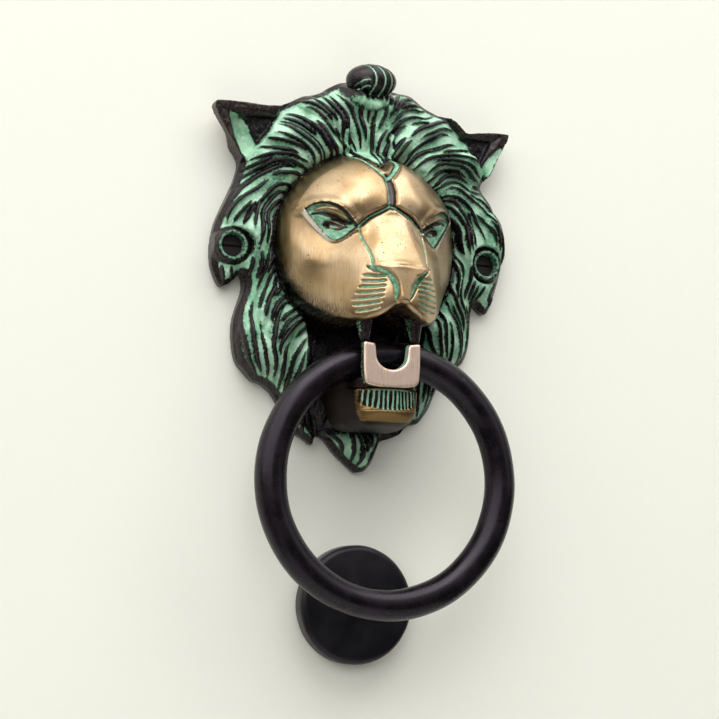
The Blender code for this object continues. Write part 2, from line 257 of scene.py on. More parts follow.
def stamp_ridges(lines, width, seed):
    """The ridges' cross-sections laid over the grid, the highest kept, from 0 to 1."""
    picker = np.random.default_rng(seed)
    field = np.zeros(GRID_SHAPE)
    for line in lines:
        w = width * picker.uniform(0.8, 1.25)
        t = np.linspace(0, 1, len(line))
        taper = np.minimum(1.0, 3.2 * np.minimum(t + 0.04, 1.04 - t)) ** 0.7
        for (x, z), k in zip(line, taper):
            r = w * (0.35 + 0.65 * k)
            i0 = max(int((x - r - GRID_X) / STEP), 0)
            i1 = min(int((x + r - GRID_X) / STEP) + 2, GRID_SHAPE[0])
            j0 = max(int((z - r - GRID_Z) / STEP), 0)
            j1 = min(int((z + r - GRID_Z) / STEP) + 2, GRID_SHAPE[1])
            gx = GRID_X + STEP * np.arange(i0, i1)[:, None] - x
            gz = GRID_Z + STEP * np.arange(j0, j1)[None, :] - z
            bump = k * np.sqrt(np.clip(1 - (gx * gx + gz * gz) / (r * r), 0, 1))
            patch = field[i0:i1, j0:j1]
            np.maximum(patch, bump, out=patch)
    return field


# ---------------------------------------------------------------- the carved surface


# Places on the right of the face, before the eyes and grooves are cut: x, z and the height off the door
FACE_PLACES = [
    (0, 38.5, 17.5), (9, 37.5, 17.5), (18, 34, 16.5), (26, 29, 15.5), (32, 22.5, 15), (36, 15, 14.5),
    (37.5, 6, 13.5), (37, -3, 13), (35, -11, 13), (32, -18.5, 14.5), (0, 33, 27), (8, 32, 28.5),
    (16, 28.5, 27.5), (24, 22.5, 25.5), (30.5, 14, 22.5), (0, 26, 34), (7, 25.5, 35), (14, 23, 33.5),
    (21, 18.5, 31), (5, 18.5, 38.3), (12, 15.6, 38.4), (19, 14.8, 35), (25.5, 14.6, 29.6), (0, 19, 37.4),
    (0, 14, 39), (29, 10.5, 24), (24, 6, 27.6), (18, 6, 32), (13, 5, 36), (20, 0, 31), (7, 8, 39.2),
    (0, 8, 40), (0, 0, 43.6), (8.5, 0, 42.2), (0, -8, 48), (9.5, -7, 46.2), (13.5, -1, 39.5), (33, 0, 20),
    (33, -10, 18), (28, -6, 26.5), (28, -15.5, 23), (23, -10, 30.8), (23.5, -20, 29.2), (18, -6, 37),
    (18, -14, 38.4), (17.5, -24, 40), (14, -12, 43.8), (15, -19, 44.2), (14.5, -28, 42.6), (9, -14, 47),
    (9, -20, 49.2), (9, -28, 47.6), (4.5, -18, 50), (4, -25, 50.4), (0, -16, 50.5), (0, -24, 50.8),
    (0, -32, 49), (12, -34, 43.5), (22, -29, 31.5), (29, -24, 20),
]


def surface_through(places, x, z):
    """A smooth sheet through the places on both sides (a thin-plate spline, slightly relaxed)."""
    known = np.array(places + [(-a, b, c) for a, b, c in places if a > 0])

    def bend(dx, dz):
        squared = dx * dx + dz * dz
        return squared * np.log(squared + 1e-9)

    count = len(known)
    system = np.zeros((count + 3, count + 3))
    system[:count, :count] = bend(known[:, None, 0] - known[:, 0], known[:, None, 1] - known[:, 1])
    system[:count, :count] += 6.0 * np.eye(count)
    system[:count, count:] = np.column_stack([np.ones(count), known[:, :2]])
    system[count:, :count] = system[:count, count:].T
    weights = np.linalg.solve(system, np.append(known[:, 2], [0, 0, 0]))
    height = weights[count] + weights[count + 1] * x + weights[count + 2] * z
    for (cx, cz, _), weight in zip(known, weights):
        height = height + weight * bend(x - cx, z - cz)
    return height


def groove(height, x, z, points, width, depth, taper=True):
    """Cuts a round groove along a line. Gives the new height and how deep in the groove each place is."""
    d, t = to_path(x, z, rounded_line(points, 5))
    w = width * (np.minimum(1.0, 5 * np.minimum(t + 0.08, 1.08 - t)) if taper else 1.0)
    cut = ramp(-d / w, -1.0, -0.15)
    return height - depth * cut, cut


def cut_nose(h, x, z):
    """A broad bridge that widens to the tip, and a three-sided front below it."""
    ax = np.abs(x)
    half = 5.6 + 0.22 * (12.0 - z)
    bridge = 38.7 + 0.515 * (12.0 - z) - 0.014 * ax**2
    share = ramp(half + 2.4 - ax, 0.0, 5.0) * ramp(z, -11.2, -10.2) * ramp(13.5 - z, 0.0, 8.0)
    h = h + np.maximum(bridge - h, 0.0) * share
    half = np.interp(-z, [10.0, 11.5, 13.0, 15.0, 18.0, 25.0], [12.2, 11.0, 8.2, 5.2, 2.8, 1.6])
    front = 50.8 + 0.15 * (-10.5 - z) - 0.012 * ax**2
    share = ramp(half + 0.8 - ax, 0.0, 1.6) * ramp(-10.2 - z, 0.0, 0.8) * ramp(z, -26.5, -23.5)
    h = h + np.maximum(front - h, 0.0) * share
    h = h + 0.8 * np.exp(-((x + 0.6) / 4.6) ** 2 - ((z + 9.5) / 1.3) ** 2)
    return h + 0.35 * np.exp(-((ax - 8.5) / 2.6) ** 2 - ((z + 9.9) / 0.9) ** 2)


def cut_eyes(h, x, z, green, dark):
    """A slanting hollow with a polished lower edge painted bright as a highlight, an upper lid over a fold
    painted dark as shade, a shaded iris, and raised verdigris glints painted as highlights in the iris.
    """
    ax = np.abs(x)
    upper = rounded_line([(30.2, 13.0), (27.0, 15.0), (22.5, 14.8), (17.5, 11.6), (12.4, 5.6)], 4)
    lower = rounded_line([(12.4, 5.6), (16.0, 2.2), (19.8, 0.2), (22.6, 2.2), (26.6, 7.6), (30.2, 13.0)], 4)
    eye = depth_inside(ax, z, [tuple(p) for p in upper[:-1]] + [tuple(p) for p in lower[:-1]])
    under, along = to_path(ax, z, lower)
    over, _ = to_path(ax, z, upper)
    outside = eye < 0
    h = h + 0.75 * np.where(outside, ramp(-under, -1.1, -0.2), ramp(eye, -0.4, 0.0))
    h = h + 0.9 * np.where(outside, ramp(-over, -3.4, -0.2), ramp(eye, -0.4, 0.0))
    sunk = 1.7 + 1.7 * ramp(under - over, -3.0, 4.0)
    h = h - (sunk + 0.75) * ramp(eye, 0.0, 1.2)
    edge_line = ramp(-np.abs(eye - 0.45), -0.60, -0.15)
    green = np.maximum(green, ramp(eye, 0.40, 1.0))
    dark = np.maximum(dark, 0.9 * edge_line)
    # Painted highlight: the polished lower edge, which the finish paints near-white.
    polish_and_highlight = ramp(-np.abs(eye + 0.40), -0.75, -0.25) * ramp(along, 0.36, 0.46)
    polish_and_highlight = polish_and_highlight * ramp(over - under, 0.0, 0.8)
    arc, t = to_path(ax, z, rounded_line([(26.4, 12.5), (23.4, 12.9), (19.4, 11.2), (15.8, 8.6)], 4))
    lid = ramp(-arc / (0.50 + 0.65 * np.sin(np.pi * np.clip(t, 0, 1))), -1.25, -0.35) * ramp(eye, 0.6, 1.2)
    h = h + 1.7 * lid
    # Painted shade: the fold under the lid is darkened and loses its verdigris.
    fold, t = to_path(ax, z, rounded_line([(27.0, 11.0), (23.6, 11.0), (19.2, 9.4), (14.6, 6.8)], 4))
    fold = ramp(-fold / (0.45 + 0.45 * np.sin(np.pi * np.clip(t, 0, 1))), -1.2, -0.5)
    fold = fold * (1 - lid) * ramp(eye, 0.4, 0.9)
    h = h - 0.7 * fold
    ragged = 0.22 * lattice_noise(x, z, 1.1, 51)
    iris = 1 - ((ax - 19.4) / 4.5) ** 2 - ((z - 6.9 - 0.12 * (ax - 19.4)) / 2.2) ** 2
    hollow = ramp(iris + ragged, 0.0, 0.35) * (1 - lid)
    h = h - 0.9 * hollow
    # Painted highlights: a pale arc and a spot of raised verdigris in the dark iris.
    glint, _ = to_path(ax, z, rounded_line([(22.8, 8.4), (20.4, 8.4), (16.6, 6.6)], 4))
    verdigris_glint = np.maximum(
        0.75 * ramp(-glint, -0.42, -0.12),
        ramp(-np.hypot((ax - 19.6) / 1.7, (z - 5.9) / 0.75) + ragged, -1.05, -0.6),
    ) * hollow
    crumbs = ramp(lattice_noise(x, z, 0.9, 52), 0.0, 0.45)
    shade = ramp(-np.hypot((ax - 18.6) / 2.6, (z - 3.4) / 1.0), -1.2, -0.5) * crumbs
    shade = np.maximum(shade, 0.8 * ramp(-np.hypot((ax - 15.6) / 1.4, (z - 4.2) / 1.0), -1.2, -0.5) * crumbs)
    dark = np.maximum(dark, np.maximum(hollow * (1 - verdigris_glint), np.maximum(shade, fold)))
    green = green * (1 - hollow * (1 - 0.9 * verdigris_glint)) * (1 - ramp(lid, 0.25, 0.6))
    green = green * (1 - 0.9 * shade) * (1 - fold)
    return h + 0.5 * verdigris_glint, green, dark, polish_and_highlight


def to_arms(ax, z):
    """Distance to the two pale lines that run from the furrow up into the hair."""
    arm = rounded_line([(0.3, 25.0), (3.4, 28.4), (6.7, 32.8), (8.6, 38.6), (9.4, 47.0)], 5)
    return to_path(ax, z, arm)[0]


def face_height(x, z):
    """The lion's face: its height off the door, and where verdigris and dark lines lie."""
    ax = np.abs(x)
    h = cut_nose(surface_through(FACE_PLACES, x, z), x, z)
    # The broad dark furrow between the brows, and the creases from it to the eyes
    furrow, _ = to_path(x, z, rounded_line([(-0.2, 25.5), (0.7, 20.0), (0.0, 14.2)], 5))
    valley = ramp(-furrow, -2.6, -0.5)
    arms = to_arms(ax, z)
    valley = np.maximum(valley, 0.55 * ramp(-arms, -1.9, -0.7))
    under, _ = to_path(ax, z, rounded_line([(0.0, 14.2), (4.0, 11.9), (8.6, 9.3), (12.6, 5.6)], 5))
    valley = np.maximum(valley, 0.7 * ramp(-under, -1.6, -0.2))
    h = h - 2.2 * valley
    dark = ramp(valley, 0.30, 0.62)
    h, green = groove(h, x, z, [(-0.6, 25.0), (-0.5, 20.0), (-0.6, 14.0)], 0.7, 0.4, taper=False)
    for points, width, depth in (
        ([(0.0, 14.2), (4.0, 11.9), (8.6, 9.3), (12.4, 5.8)], 0.6, 0.6),
        ([(12.6, 5.2), (12.4, 1.0), (11.4, -4.0), (10.8, -8.5), (11.6, -11.6)], 0.6, 0.9),
    ):
        h, cut = groove(h, ax, z, points, width, depth, taper=False)
        green = np.maximum(green, cut)
    line = ramp(-arms, -0.95, -0.40)
    h = h + 1.1 * line
    green = np.maximum(green, 0.95 * line)
    # Nostril wings, wide and green
    wing = [(-12.2, -10.9), (-9.2, -12.0), (-6.2, -13.4), (-4.0, -15.8), (-2.9, -19.0), (-3.1, -23.2)]
    h, cut = groove(h, x, z, wing, 1.25, 1.8)
    green = np.maximum(green, cut)
    wing = [(12.0, -10.6), (9.0, -13.0), (6.2, -16.0), (4.0, -19.2), (1.9, -23.2)]
    h, cut = groove(h, x, z, wing, 1.15, 1.8)
    green = np.maximum(green, cut)
    # Whisker grooves
    for side, first, slant, drop_rate in ((-1, 5.8, 0.45, 0.22), (1, 4.9, 0.25, 0.05)):
        across = side * x
        for k in range(7):
            inner = first + slant * k
            outer = 13.6 + 0.75 * k if k < 5 else 17.0 - 0.7 * (k - 4)
            z0 = -14.0 - 1.95 * k
            drop = drop_rate * k * np.clip((across - inner) / (outer - inner), 0, 1)
            line = [(inner, z0), ((inner + outer) / 2, z0 - 0.3), (outer, z0)]
            h, cut = groove(h, across, z + drop, line, 0.72, 1.0)
            green = np.maximum(green, 0.92 * cut)
    return cut_eyes(h, x, z, green, dark)


LIP = [
    (0, -24.8), (2, -25.2), (5, -27.4), (8.5, -29.4), (12.5, -30.4), (16, -29.8), (20, -28.2), (25, -25),
    (30, -20.8), (34, -15),
]


def lip_line(x):
    """The lower edge of the muzzle and cheeks, higher in the middle and at the sides."""
    return np.interp(np.abs(x + 1.2 * ramp(8.0 - np.abs(x), 0.0, 6.0)), *np.transpose(LIP))


FACE_SHAPE = [
    (0, 31), (1.8, 31.8), (3.8, 34), (6.4, 36.2), (10, 36.8), (15, 35.2), (21, 31.8), (27, 27.4), (31.4, 22),
    (35, 15), (36.6, 6), (36.2, -3), (34.4, -11), (31.2, -17.6), (27.4, -23), (22, -28), (15, -33), (7, -34),
    (0, -34),
]
FACE_OUTLINE = closed_outline(FACE_SHAPE, FACE_SHAPE, 4)


def face_edge(x, z):
    """Depth inside the face's outline."""
    return depth_inside(x, z, FACE_OUTLINE)


def ear_reach(x, z):
    """How far a place is along an ear, from its root towards its tip."""
    return (np.abs(x) - 47.5) * 0.80 + (z - 42.5) * 0.60


def ear_start(x):
    """Where along the ear the hair ends. It covers more of the right ear."""
    return np.where(x > 0, 0.8, -4.6)


EAR_CUP_LEFT = [
    (-54.8, 51.6), (-48.2, 49), (-43.8, 40.6), (-44.2, 35.2), (-49.2, 35.6), (-52.6, 42.6),
]
EAR_CUP_RIGHT = [
    (59.8, 49), (58.4, 44.7), (53.8, 36.4), (51.6, 32.4), (49.6, 33.4), (50.4, 38.3), (53.8, 43.6),
]


EAR_EDGE = [(38, 54.8), (51, 54), (60.8, 53.6), (55.4, 42.4), (51.4, 33.6)]


def ear_height(h, x, z, green, bare_and_sheen):
    """The ears: thin cups that rise off the door, with a rounded rim and a green hollow."""
    ax = np.abs(x)
    reach = ear_reach(x, z)
    edge, _ = to_path(ax, z, EAR_EDGE)
    start = ear_start(x)
    inside = ramp(reach + 0.8 * lattice_noise(ax, z, 3.0, 22), start - 1.2, start + 1.0) * ramp(z, 30.5, 34.0)
    rim = np.sqrt(np.clip(1 - (np.clip(edge - 0.9, 0, 9) / 3.4) ** 2, 0, 1))
    fur = lattice_noise(ax, z, 1.2, 21)
    ear = 7.2 + 0.10 * reach + 2.9 * rim + 0.25 * fur
    cup = np.maximum(depth_inside(x, z, EAR_CUP_LEFT), depth_inside(x, z, EAR_CUP_RIGHT))
    ear = ear - 2.2 * ramp(cup, -1.2, 1.0)
    h = np.where(inside > 0, h + (ear - h) * inside, h)
    green = green * (1 - inside) + inside * ramp(cup + 0.35 * fur, -0.5, 0.3)
    return h, green, np.maximum(bare_and_sheen * (1 - inside), 0.5 * inside * ramp(rim, 0.6, 0.95))


# The curl at the crest: its middle and its half sizes, each as x, p, z
CREST = (1.8, 12.0, 68.5)
CREST_HALF = (10.2, 7.6, 6.5)


def crest_green(x, z):
    """The pale lines on the curl at the crest."""
    stripes = np.zeros(np.shape(x))
    for centre in (1.2, 5.2, 8.6):
        bend = centre - 0.055 * (z - 67.0) ** 2
        stripes = np.maximum(stripes, ramp(-np.abs(x - bend), -0.72, -0.12))
    for centre in (64.4, 66.9):
        bend = centre - 0.09 * (x + 2.0) ** 2
        stripe = ramp(-np.abs(z - bend), -0.55, -0.1) * ramp(-x, 0.6, 1.6) * ramp(x, -7.0, -5.5)
        stripes = np.maximum(stripes, stripe)
    return stripes


def crest_field(x, p, z):
    """The curl at the crest, a ball that stands off the door, with a small nub on its left."""
    scaled = [((v - c) / half) ** 2 for v, c, half in zip((x, p, z), CREST, CREST_HALF)]
    ball = (np.sqrt(scaled[0] + scaled[1] + scaled[2]) - 1) * 7.0
    nub = np.sqrt((x + 2.2) ** 2 + (p - 17.6) ** 2 + (z - 65.8) ** 2) - 2.5
    return np.minimum(ball + 0.6 * crest_green(x, z), nub)


def lobe_height(h, x, z, green, dark):
    """A raised collar round each fixing hole."""
    for cx in (-LOBE_X, LOBE_X):
        r = np.hypot(x - cx, z)
        collar = np.sqrt(np.clip(1 - ((r - 5.1) / 1.5) ** 2, 0, 1))
        zone = ramp(-r, -8.0, -6.8)
        h = h + (8.2 + 2.2 * collar - h) * zone
        green = green * (1 - zone) + 0.58 * ramp(-np.abs(r - 5.0), -1.3, -0.4)
        dark = np.maximum(dark, zone)
    return h, np.clip(green, 0, 1), dark


def hair_cells(x, z, depth, face):
    """Where hair grows."""
    cells = (depth > 1.2) & (face < 0.8) & (np.hypot(np.abs(x) - LOBE_X, z) > 8.0)
    cells &= ~((np.abs(x) < 15.5) & (z > -68.0) & (z < -28.0))
    return cells & ~((z > EAR_BOTTOM_Z) & (ear_reach(x, z) > ear_start(x) - 0.6))


def mane_fields():
    """Height, verdigris, darkness and bare metal of the mane over the grid."""
    x = (GRID_X + STEP * np.arange(GRID_SHAPE[0]))[:, None] + np.zeros(GRID_SHAPE)
    z = (GRID_Z + STEP * np.arange(GRID_SHAPE[1]))[None, :] + np.zeros(GRID_SHAPE)
    depth = depth_inside(x, z, MASK_OUTLINE)
    face = face_edge(x, z)
    allowed = hair_cells(x, z, depth, face)
    angles = hair_directions(x, z)
    broad = stamp_ridges(hair_lines(allowed, angles, 7.5, 44.0, 5), 4.4, 6)
    fine = stamp_ridges(hair_lines(allowed, angles, 2.05, 38.0, 7), 0.84, 8)
    base = 3.8 + 11.0 * (1 - np.exp(-np.clip(depth, 0, None) / 10.0))
    base = base * (1 - 0.22 * ramp(-z, 50.0, 86.0))
    h = base + 3.0 * broad + (1.9 + 0.5 * lattice_noise(x, z, 7.0, 31)) * fine
    h = h - 2.4 * ramp(face, -4.0, 0.0)
    arms = to_arms(np.abs(x), z)
    tops = ramp(broad + 0.35 * lattice_noise(x, z, 8.0, 41), 0.72, 1.05)
    green = (1 - ramp(fine, 0.20, 0.56)) * (1 - 0.36 * tops)
    green = np.maximum(green * (1 - ramp(-arms, -2.0, -1.2)), ramp(-arms, -1.0, -0.5))
    edge_dark = ramp(-depth, -2.6, -1.2)
    green = green * (1 - edge_dark) * (1 - 0.65 * ramp(face, -2.6, -0.4) * ramp(arms, 0.6, 1.2))
    dark = np.zeros(GRID_SHAPE)
    bare_and_sheen = 0.25 * edge_dark
    # The hollow beside and under the mouth, sunk, with most of its verdigris taken away so it shows
    # soot-black as painted shade
    aside = np.maximum(np.abs(x) - 18.5, 0) / 7.0
    above = np.maximum(np.abs(z + 46.0) - 20.0, 0) / 6.0
    throat = ramp(-aside - above, -1.0, -0.1)
    h = h - 3.5 * throat
    green = green * (1 - 0.9 * throat)
    h, green, bare_and_sheen = ear_height(h, x, z, green, bare_and_sheen)
    h = h + 6.0 * ramp(-np.hypot((x - 1.5) / 14.0, (z - 61.0) / 9.5), -1.0, -0.25)
    near_crest = ramp(-np.hypot(x / 11.0, (z - 64.5) / 10.0), -1.0, -0.75)
    green = np.maximum(green * (1 - near_crest), near_crest * 0.9 * ramp(-z, -63.5, -58.0))
    on_crest = np.hypot((x - CREST[0]) / CREST_HALF[0], (z - CREST[2]) / CREST_HALF[2]) < 1.02
    green = np.where(on_crest, crest_green(x, z), green)
    h, green, dark = lobe_height(h, x, z, green, dark)
    return x, z, h, depth, face, green, dark, bare_and_sheen, fine


# ---------------------------------------------------------------- meshes from solids


def net_of(solid, low, step):
    """A closed mesh round where the solid's values are below 0 (naive surface nets)."""
    inside = solid < 0
    corners = [(i, j, k) for i in (0, 1) for j in (0, 1) for k in (0, 1)]
    nx, ny, nz = (n - 1 for n in solid.shape)
    views = [inside[i:nx + i, j:ny + j, k:nz + k] for i, j, k in corners]
    some = np.logical_or.reduce(views)
    every = np.logical_and.reduce(views)
    cells = np.argwhere(some & ~every)
    number = np.full((nx, ny, nz), -1, np.int32)
    number[tuple(cells.T)] = np.arange(len(cells))
    values = {c: solid[cells[:, 0] + c[0], cells[:, 1] + c[1], cells[:, 2] + c[2]] for c in corners}
    total = np.zeros((len(cells), 3))
    count = np.zeros(len(cells))
    for a in corners:
        for axis in range(3):
            if a[axis]:
                continue
            b = tuple(v + (n == axis) for n, v in enumerate(a))
            va, vb = values[a], values[b]
            crosses = (va < 0) != (vb < 0)
            t = np.where(crosses, va / np.where(crosses, va - vb, 1), 0)
            point = np.array(a, float)[None, :] + t[:, None] * np.eye(3)[axis][None, :]
            total += np.where(crosses[:, None], point, 0)
            count += crosses
    points = np.asarray(low) + step * (cells + total / count[:, None])
    quads = []
    for axis in range(3):
        b, c = [n for n in range(3) if n != axis]
        size = solid.shape[axis]
        one, two = inside.take(np.arange(size - 1), axis), inside.take(np.arange(1, size), axis)
        for flip, edges in ((False, np.argwhere(one & ~two)), (True, np.argwhere(~one & two))):
            across = edges[:, [b, c]]
            last = np.array([solid.shape[b], solid.shape[c]]) - 1
            edges = edges[((across > 0) & (across < last)).all(axis=1)]
            ring = []
            for db, dc in ((0, 0), (-1, 0), (-1, -1), (0, -1)):
                cell = edges.copy()
                cell[:, b] += db
                cell[:, c] += dc
                ring.append(number[tuple(cell.T)])
            ring = np.stack(ring, 1)
            if flip != (axis == 1):
                ring = ring[:, ::-1]
            quads.append(ring)
    return points, np.concatenate(quads)


def sample(field, points):
    """The field's values at points, which are (x, p, z)."""
    u = np.clip((points[:, 0] - GRID_X) / STEP, 0, GRID_SHAPE[0] - 1.001)
    v = np.clip((points[:, 2] - GRID_Z) / STEP, 0, GRID_SHAPE[1] - 1.001)
    i, j = u.astype(int), v.astype(int)
    fu, fv = u - i, v - j
    low = field[i, j] * (1 - fu) + field[i + 1, j] * fu
    high = field[i, j + 1] * (1 - fu) + field[i + 1, j + 1] * fu
    return low * (1 - fv) + high * fv


def add_object(name, mesh, finish):
    mesh.materials.append(finish)
    obj = bpy.data.objects.new(name, mesh)
    bpy.context.scene.collection.objects.link(obj)
    return obj


def piece(name, points, faces, attributes, finish):
    """An object from points in millimetres, (x, p, z), with named numbers on its points."""
    mesh = bpy.data.meshes.new(name)
    co = np.stack([points[:, 0], -points[:, 1], points[:, 2]], 1) * MM
    mesh.vertices.add(len(co))
    mesh.vertices.foreach_set("co", co.ravel().astype(np.float32))
    sides = faces.shape[1]
    mesh.loops.add(faces.size)
    mesh.loops.foreach_set("vertex_index", faces.ravel().astype(np.int32))
    mesh.polygons.add(len(faces))
    mesh.polygons.foreach_set("loop_start", np.arange(0, faces.size, sides, dtype=np.int32))
    mesh.update(calc_edges=True)
    mesh.validate()
    for key, values in attributes.items():
        made = mesh.attributes.new(key, "FLOAT", "POINT")
        made.data.foreach_set("value", np.asarray(values, np.float32))
    mesh.shade_smooth()
    return add_object(name, mesh, finish)


# ---------------------------------------------------------------- the mask


# Below this height off the door, nothing belongs to the polished face
FACE_SIDE_P = 12.0


def shifted_least(field, reach):
    """The least value within this many cells each way."""
    out = field
    for axis in (0, 1):
        best = out
        for k in range(-reach, reach + 1, 2):
            best = np.minimum(best, np.roll(out, k, axis))
        out = best
    return out


def blurred(field, reach):
    """The mean over this many cells each way."""
    out = field
    for axis in (0, 1):
        total = sum(np.roll(out, k, axis) for k in range(-reach, reach + 1))
        out = total / (2 * reach + 1)
    return out


def hollow_depths(x, z, height, depth):
    """How deep the casting is hollow behind each place, with a wall left in front."""
    hollow = shifted_least(height, 8) - 3.0
    hollow = np.minimum(hollow, 24.0 * ramp(depth, 4.5, 22.0))
    hollow = blurred(hollow, 5)
    seat = ramp(19.5 - np.abs(x), 0.0, 1.5) * ramp(11.5 - np.abs(z - JAW_SCREW_Z), 0.0, 1.5)
    return hollow + (np.minimum(hollow, 7.8) - hollow) * seat


def mask_front():
    """The whole front of the mask as fields over the grid."""
    x, z, mane, depth, face, green, dark, bare_and_sheen, fine = mane_fields()
    ax = np.abs(x)
    h, face_green, face_dark, polish_and_highlight = face_height(x, z)
    forehead = h
    over_lip = z - lip_line(x)
    h = h - 3.0 * (1 - np.sqrt(np.clip(over_lip / 2.4, 0, 1))) ** 2
    h = h - 4.5 * (1 - np.sqrt(np.clip(face / 3.5, 0, 1)))
    on_face = (face > 0.0) & (over_lip > 0.0)
    mouth = (over_lip <= 0.0) & (ax < 14.5) & (z > -46.5)
    beside = (over_lip <= 0.0) & (ax >= 14.5) & (ax < 24.0) & (z > -50.0)
    wedge = ramp(-ax, -12.0, -7.0) * ramp(-z, -44.0, -37.0) * (z > 29.0)
    mane = mane + np.maximum(forehead - 1.2 + 1.5 * (fine - 0.4) - mane, 0.0) * wedge
    mane = mane + 0.8 * ramp(-to_arms(ax, z), -1.1, -0.4) * (face < 0)
    height = np.where(on_face, np.maximum(h, 9.0), mane)
    height = np.where(beside, np.minimum(height, 10.0 + 0.5 * (ax - 14.5)), height)
    height = np.where(mouth, MOUTH_FLOOR, height)
    seat = (ax < 17.4) & (np.abs(z - JAW_SCREW_Z) < 9.4)
    height = np.where(seat, np.minimum(height, 11.6), height)
    rim_dark = ramp(-face, -2.4, -0.5)
    lower_left = ramp(-z, -4.0, 22.0) * ramp(-x, -10.0, 30.0)
    face_dark = np.maximum(face_dark, rim_dark * (0.45 + 0.4 * lower_left))
    cheek_shade = 0.8 * ramp(-over_lip, -9.0, 0.0) * ramp(-x, 8.0, 26.0)
    rim_shade = 0.8 * ramp(-face, -6.0, 0.0) * ramp(-z, -8.0, 12.0)
    fields = {
        # Painted shade: the mouth and the place beside it get no verdigris and stay soot-black.
        "green": np.where(on_face, face_green, green * ~mouth * ~beside),
        "dark": np.where(on_face, face_dark, dark),
        # On the face this is the eye's polished lower edge, painted bright as a highlight; on the mane it is
        # worn places.
        "bare_and_sheen": np.where(on_face, polish_and_highlight, bare_and_sheen),
        "face": on_face.astype(float),
        # Partly tarnish at the face's rim, partly painted shade: the right cheek, turned from the light, is
        # darkened.
        "tarnish_and_side_shade": np.clip(0.75 * ramp(x, 14.0, 27.0) + 0.45 * ramp(-face, -6.0, 0.0), 0, 1) * on_face,
        "shade": cheek_shade + rim_shade,
    }
    return x, z, height, depth, mouth, fields


def fang_field(x, p, z):
    """Two tapering canines, as a near-distance."""
    width = 1.7 + (z + 37.2) * 0.20
    aside = np.abs(x - CANINE_MIDDLE_X) - CANINE_X
    reach = np.hypot(aside, 1.15 * (p - 38.9 + 0.10 * (z + 37.0))) - width
    return np.maximum(np.maximum(reach, -37.4 - z), z + 26.0)


def build_mask():
    """The casting's points and faces, its fields, and how far off the door its inner side is."""
    x, z, height, depth, mouth, fields = mask_front()
    p = np.arange(-0.8, 56.4, STEP)
    gx, gz = np.gradient(height, STEP)
    slope = np.sqrt(1 + np.clip(gx * gx + gz * gz, 0, 8.0))
    px, pp, pz = x[:, None, :], p[None, :, None], z[:, None, :]
    solid = ((pp - height[:, None, :]) / slope[:, None, :]).astype(np.float32)

    def cut(room):
        np.maximum(solid, room.astype(np.float32), out=solid)

    def add(body):
        np.minimum(solid, body.astype(np.float32), out=solid)

    cut(-depth[:, None, :])
    hollow = hollow_depths(x, z, height, depth)
    hollow = np.where(mouth, np.minimum(hollow, MOUTH_FLOOR - 1.9), hollow)
    gx, gz = np.gradient(hollow, STEP)
    cut((hollow[:, None, :] - pp) / np.sqrt(1 + gx * gx + gz * gz)[:, None, :])
    lift = 6.4 * ramp(ear_reach(x, z), 0.5, 7.5) * (z > EAR_BOTTOM_Z)
    lift = np.minimum(lift, blurred(shifted_least(height, 3), 2) - 2.2)
    cut(lift[:, None, :] - pp)
    for side in (-1, 1):
        cut(np.interp(pp, [3.0, 7.0], [2.8, 4.5]) - np.hypot(px - side * LOBE_X, pz))
        cut(JAW_SCREW_HOLE - np.hypot(px - side * JAW_SCREW_X, pz - JAW_SCREW_Z))
    add(fang_field(px, pp, pz))
    add(crest_field(px, pp, pz))
    cut(-pp)
    points, faces = net_of(solid, (GRID_X, p[0], GRID_Z), STEP)
    return points, faces, fields, np.maximum(hollow, lift)


def split_mask(points, faces, fields, underside, finishes):
    """Makes the face, the mane, the ears, the curl, the canines and the plain back pieces of their own."""
    centre = points[faces].mean(axis=1)
    a = points[faces[:, 2]] - points[faces[:, 0]]
    b = points[faces[:, 3]] - points[faces[:, 1]]
    facing = np.cross(a, b)
    facing /= np.linalg.norm(facing, axis=1)[:, None] + 1e-12
    cx, cp, cz = centre.T
    inner_p = sample(underside, centre)
    inner = (cp < inner_p + 1.2) & (inner_p > 0.4)
    is_face = (sample(fields["face"], centre) > 0.5) & (cp > FACE_SIDE_P) & ~inner
    back = ~is_face & (inner | (facing[:, 1] < -0.35) & (cp < 26.0) | (cp < 0.3))
    front = ~is_face & ~back
    canine = front & (fang_field(cx, cp, cz) < 0.6) & (cp > 30.0)
    curl = front & ~canine & (crest_field(cx, cp, cz) < 0.5)
    ear = front & ~curl & (cz > EAR_BOTTOM_Z) & (ear_reach(cx, cz) > ear_start(cx))
    hair = front & ~canine & ~curl & ~ear
    for name, chosen, finish in (
        ("lion_face", is_face, finishes["face"]),
        ("mane_left", hair & (cx < 0), finishes["mane"]),
        ("mane_right", hair & (cx >= 0), finishes["mane"]),
        ("ear_left", ear & (cx < 0), finishes["mane"]),
        ("ear_right", ear & (cx >= 0), finishes["mane"]),
        ("crest_curl", curl, finishes["mane"]),
        ("upper_canines", canine, finishes["mane"]),
        ("mask_back_left", back & (cx < 0), finishes["back"]),
        ("mask_back_right", back & (cx >= 0), finishes["back"]),
    ):
        quads = faces[chosen]
        used = np.unique(quads)
        lookup = np.zeros(len(points), np.int64)
        lookup[used] = np.arange(len(used))
        co = points[used]
        values = {key: sample(field, co) for key, field in fields.items() if key != "face"}
        fang = ramp(-fang_field(*co.T), -0.5, -0.1) * ramp(co[:, 1], 30.0, 33.0)
        aside = co[:, 0] - CANINE_MIDDLE_X
        flank = ramp(-(np.abs(aside) - CANINE_X) * np.sign(aside), 1.0, 2.2)
        values["green"] = values["green"] * (1 - fang) + 0.46 * fang * flank
        values["bare_and_sheen"] = np.maximum(values["bare_and_sheen"], 0.12 * fang)
        obj = piece(name, co, lookup[quads], values, finish)
        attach(obj, "door_fixed")
        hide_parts("lion_mask")


# ---------------------------------------------------------------- the lower jaw


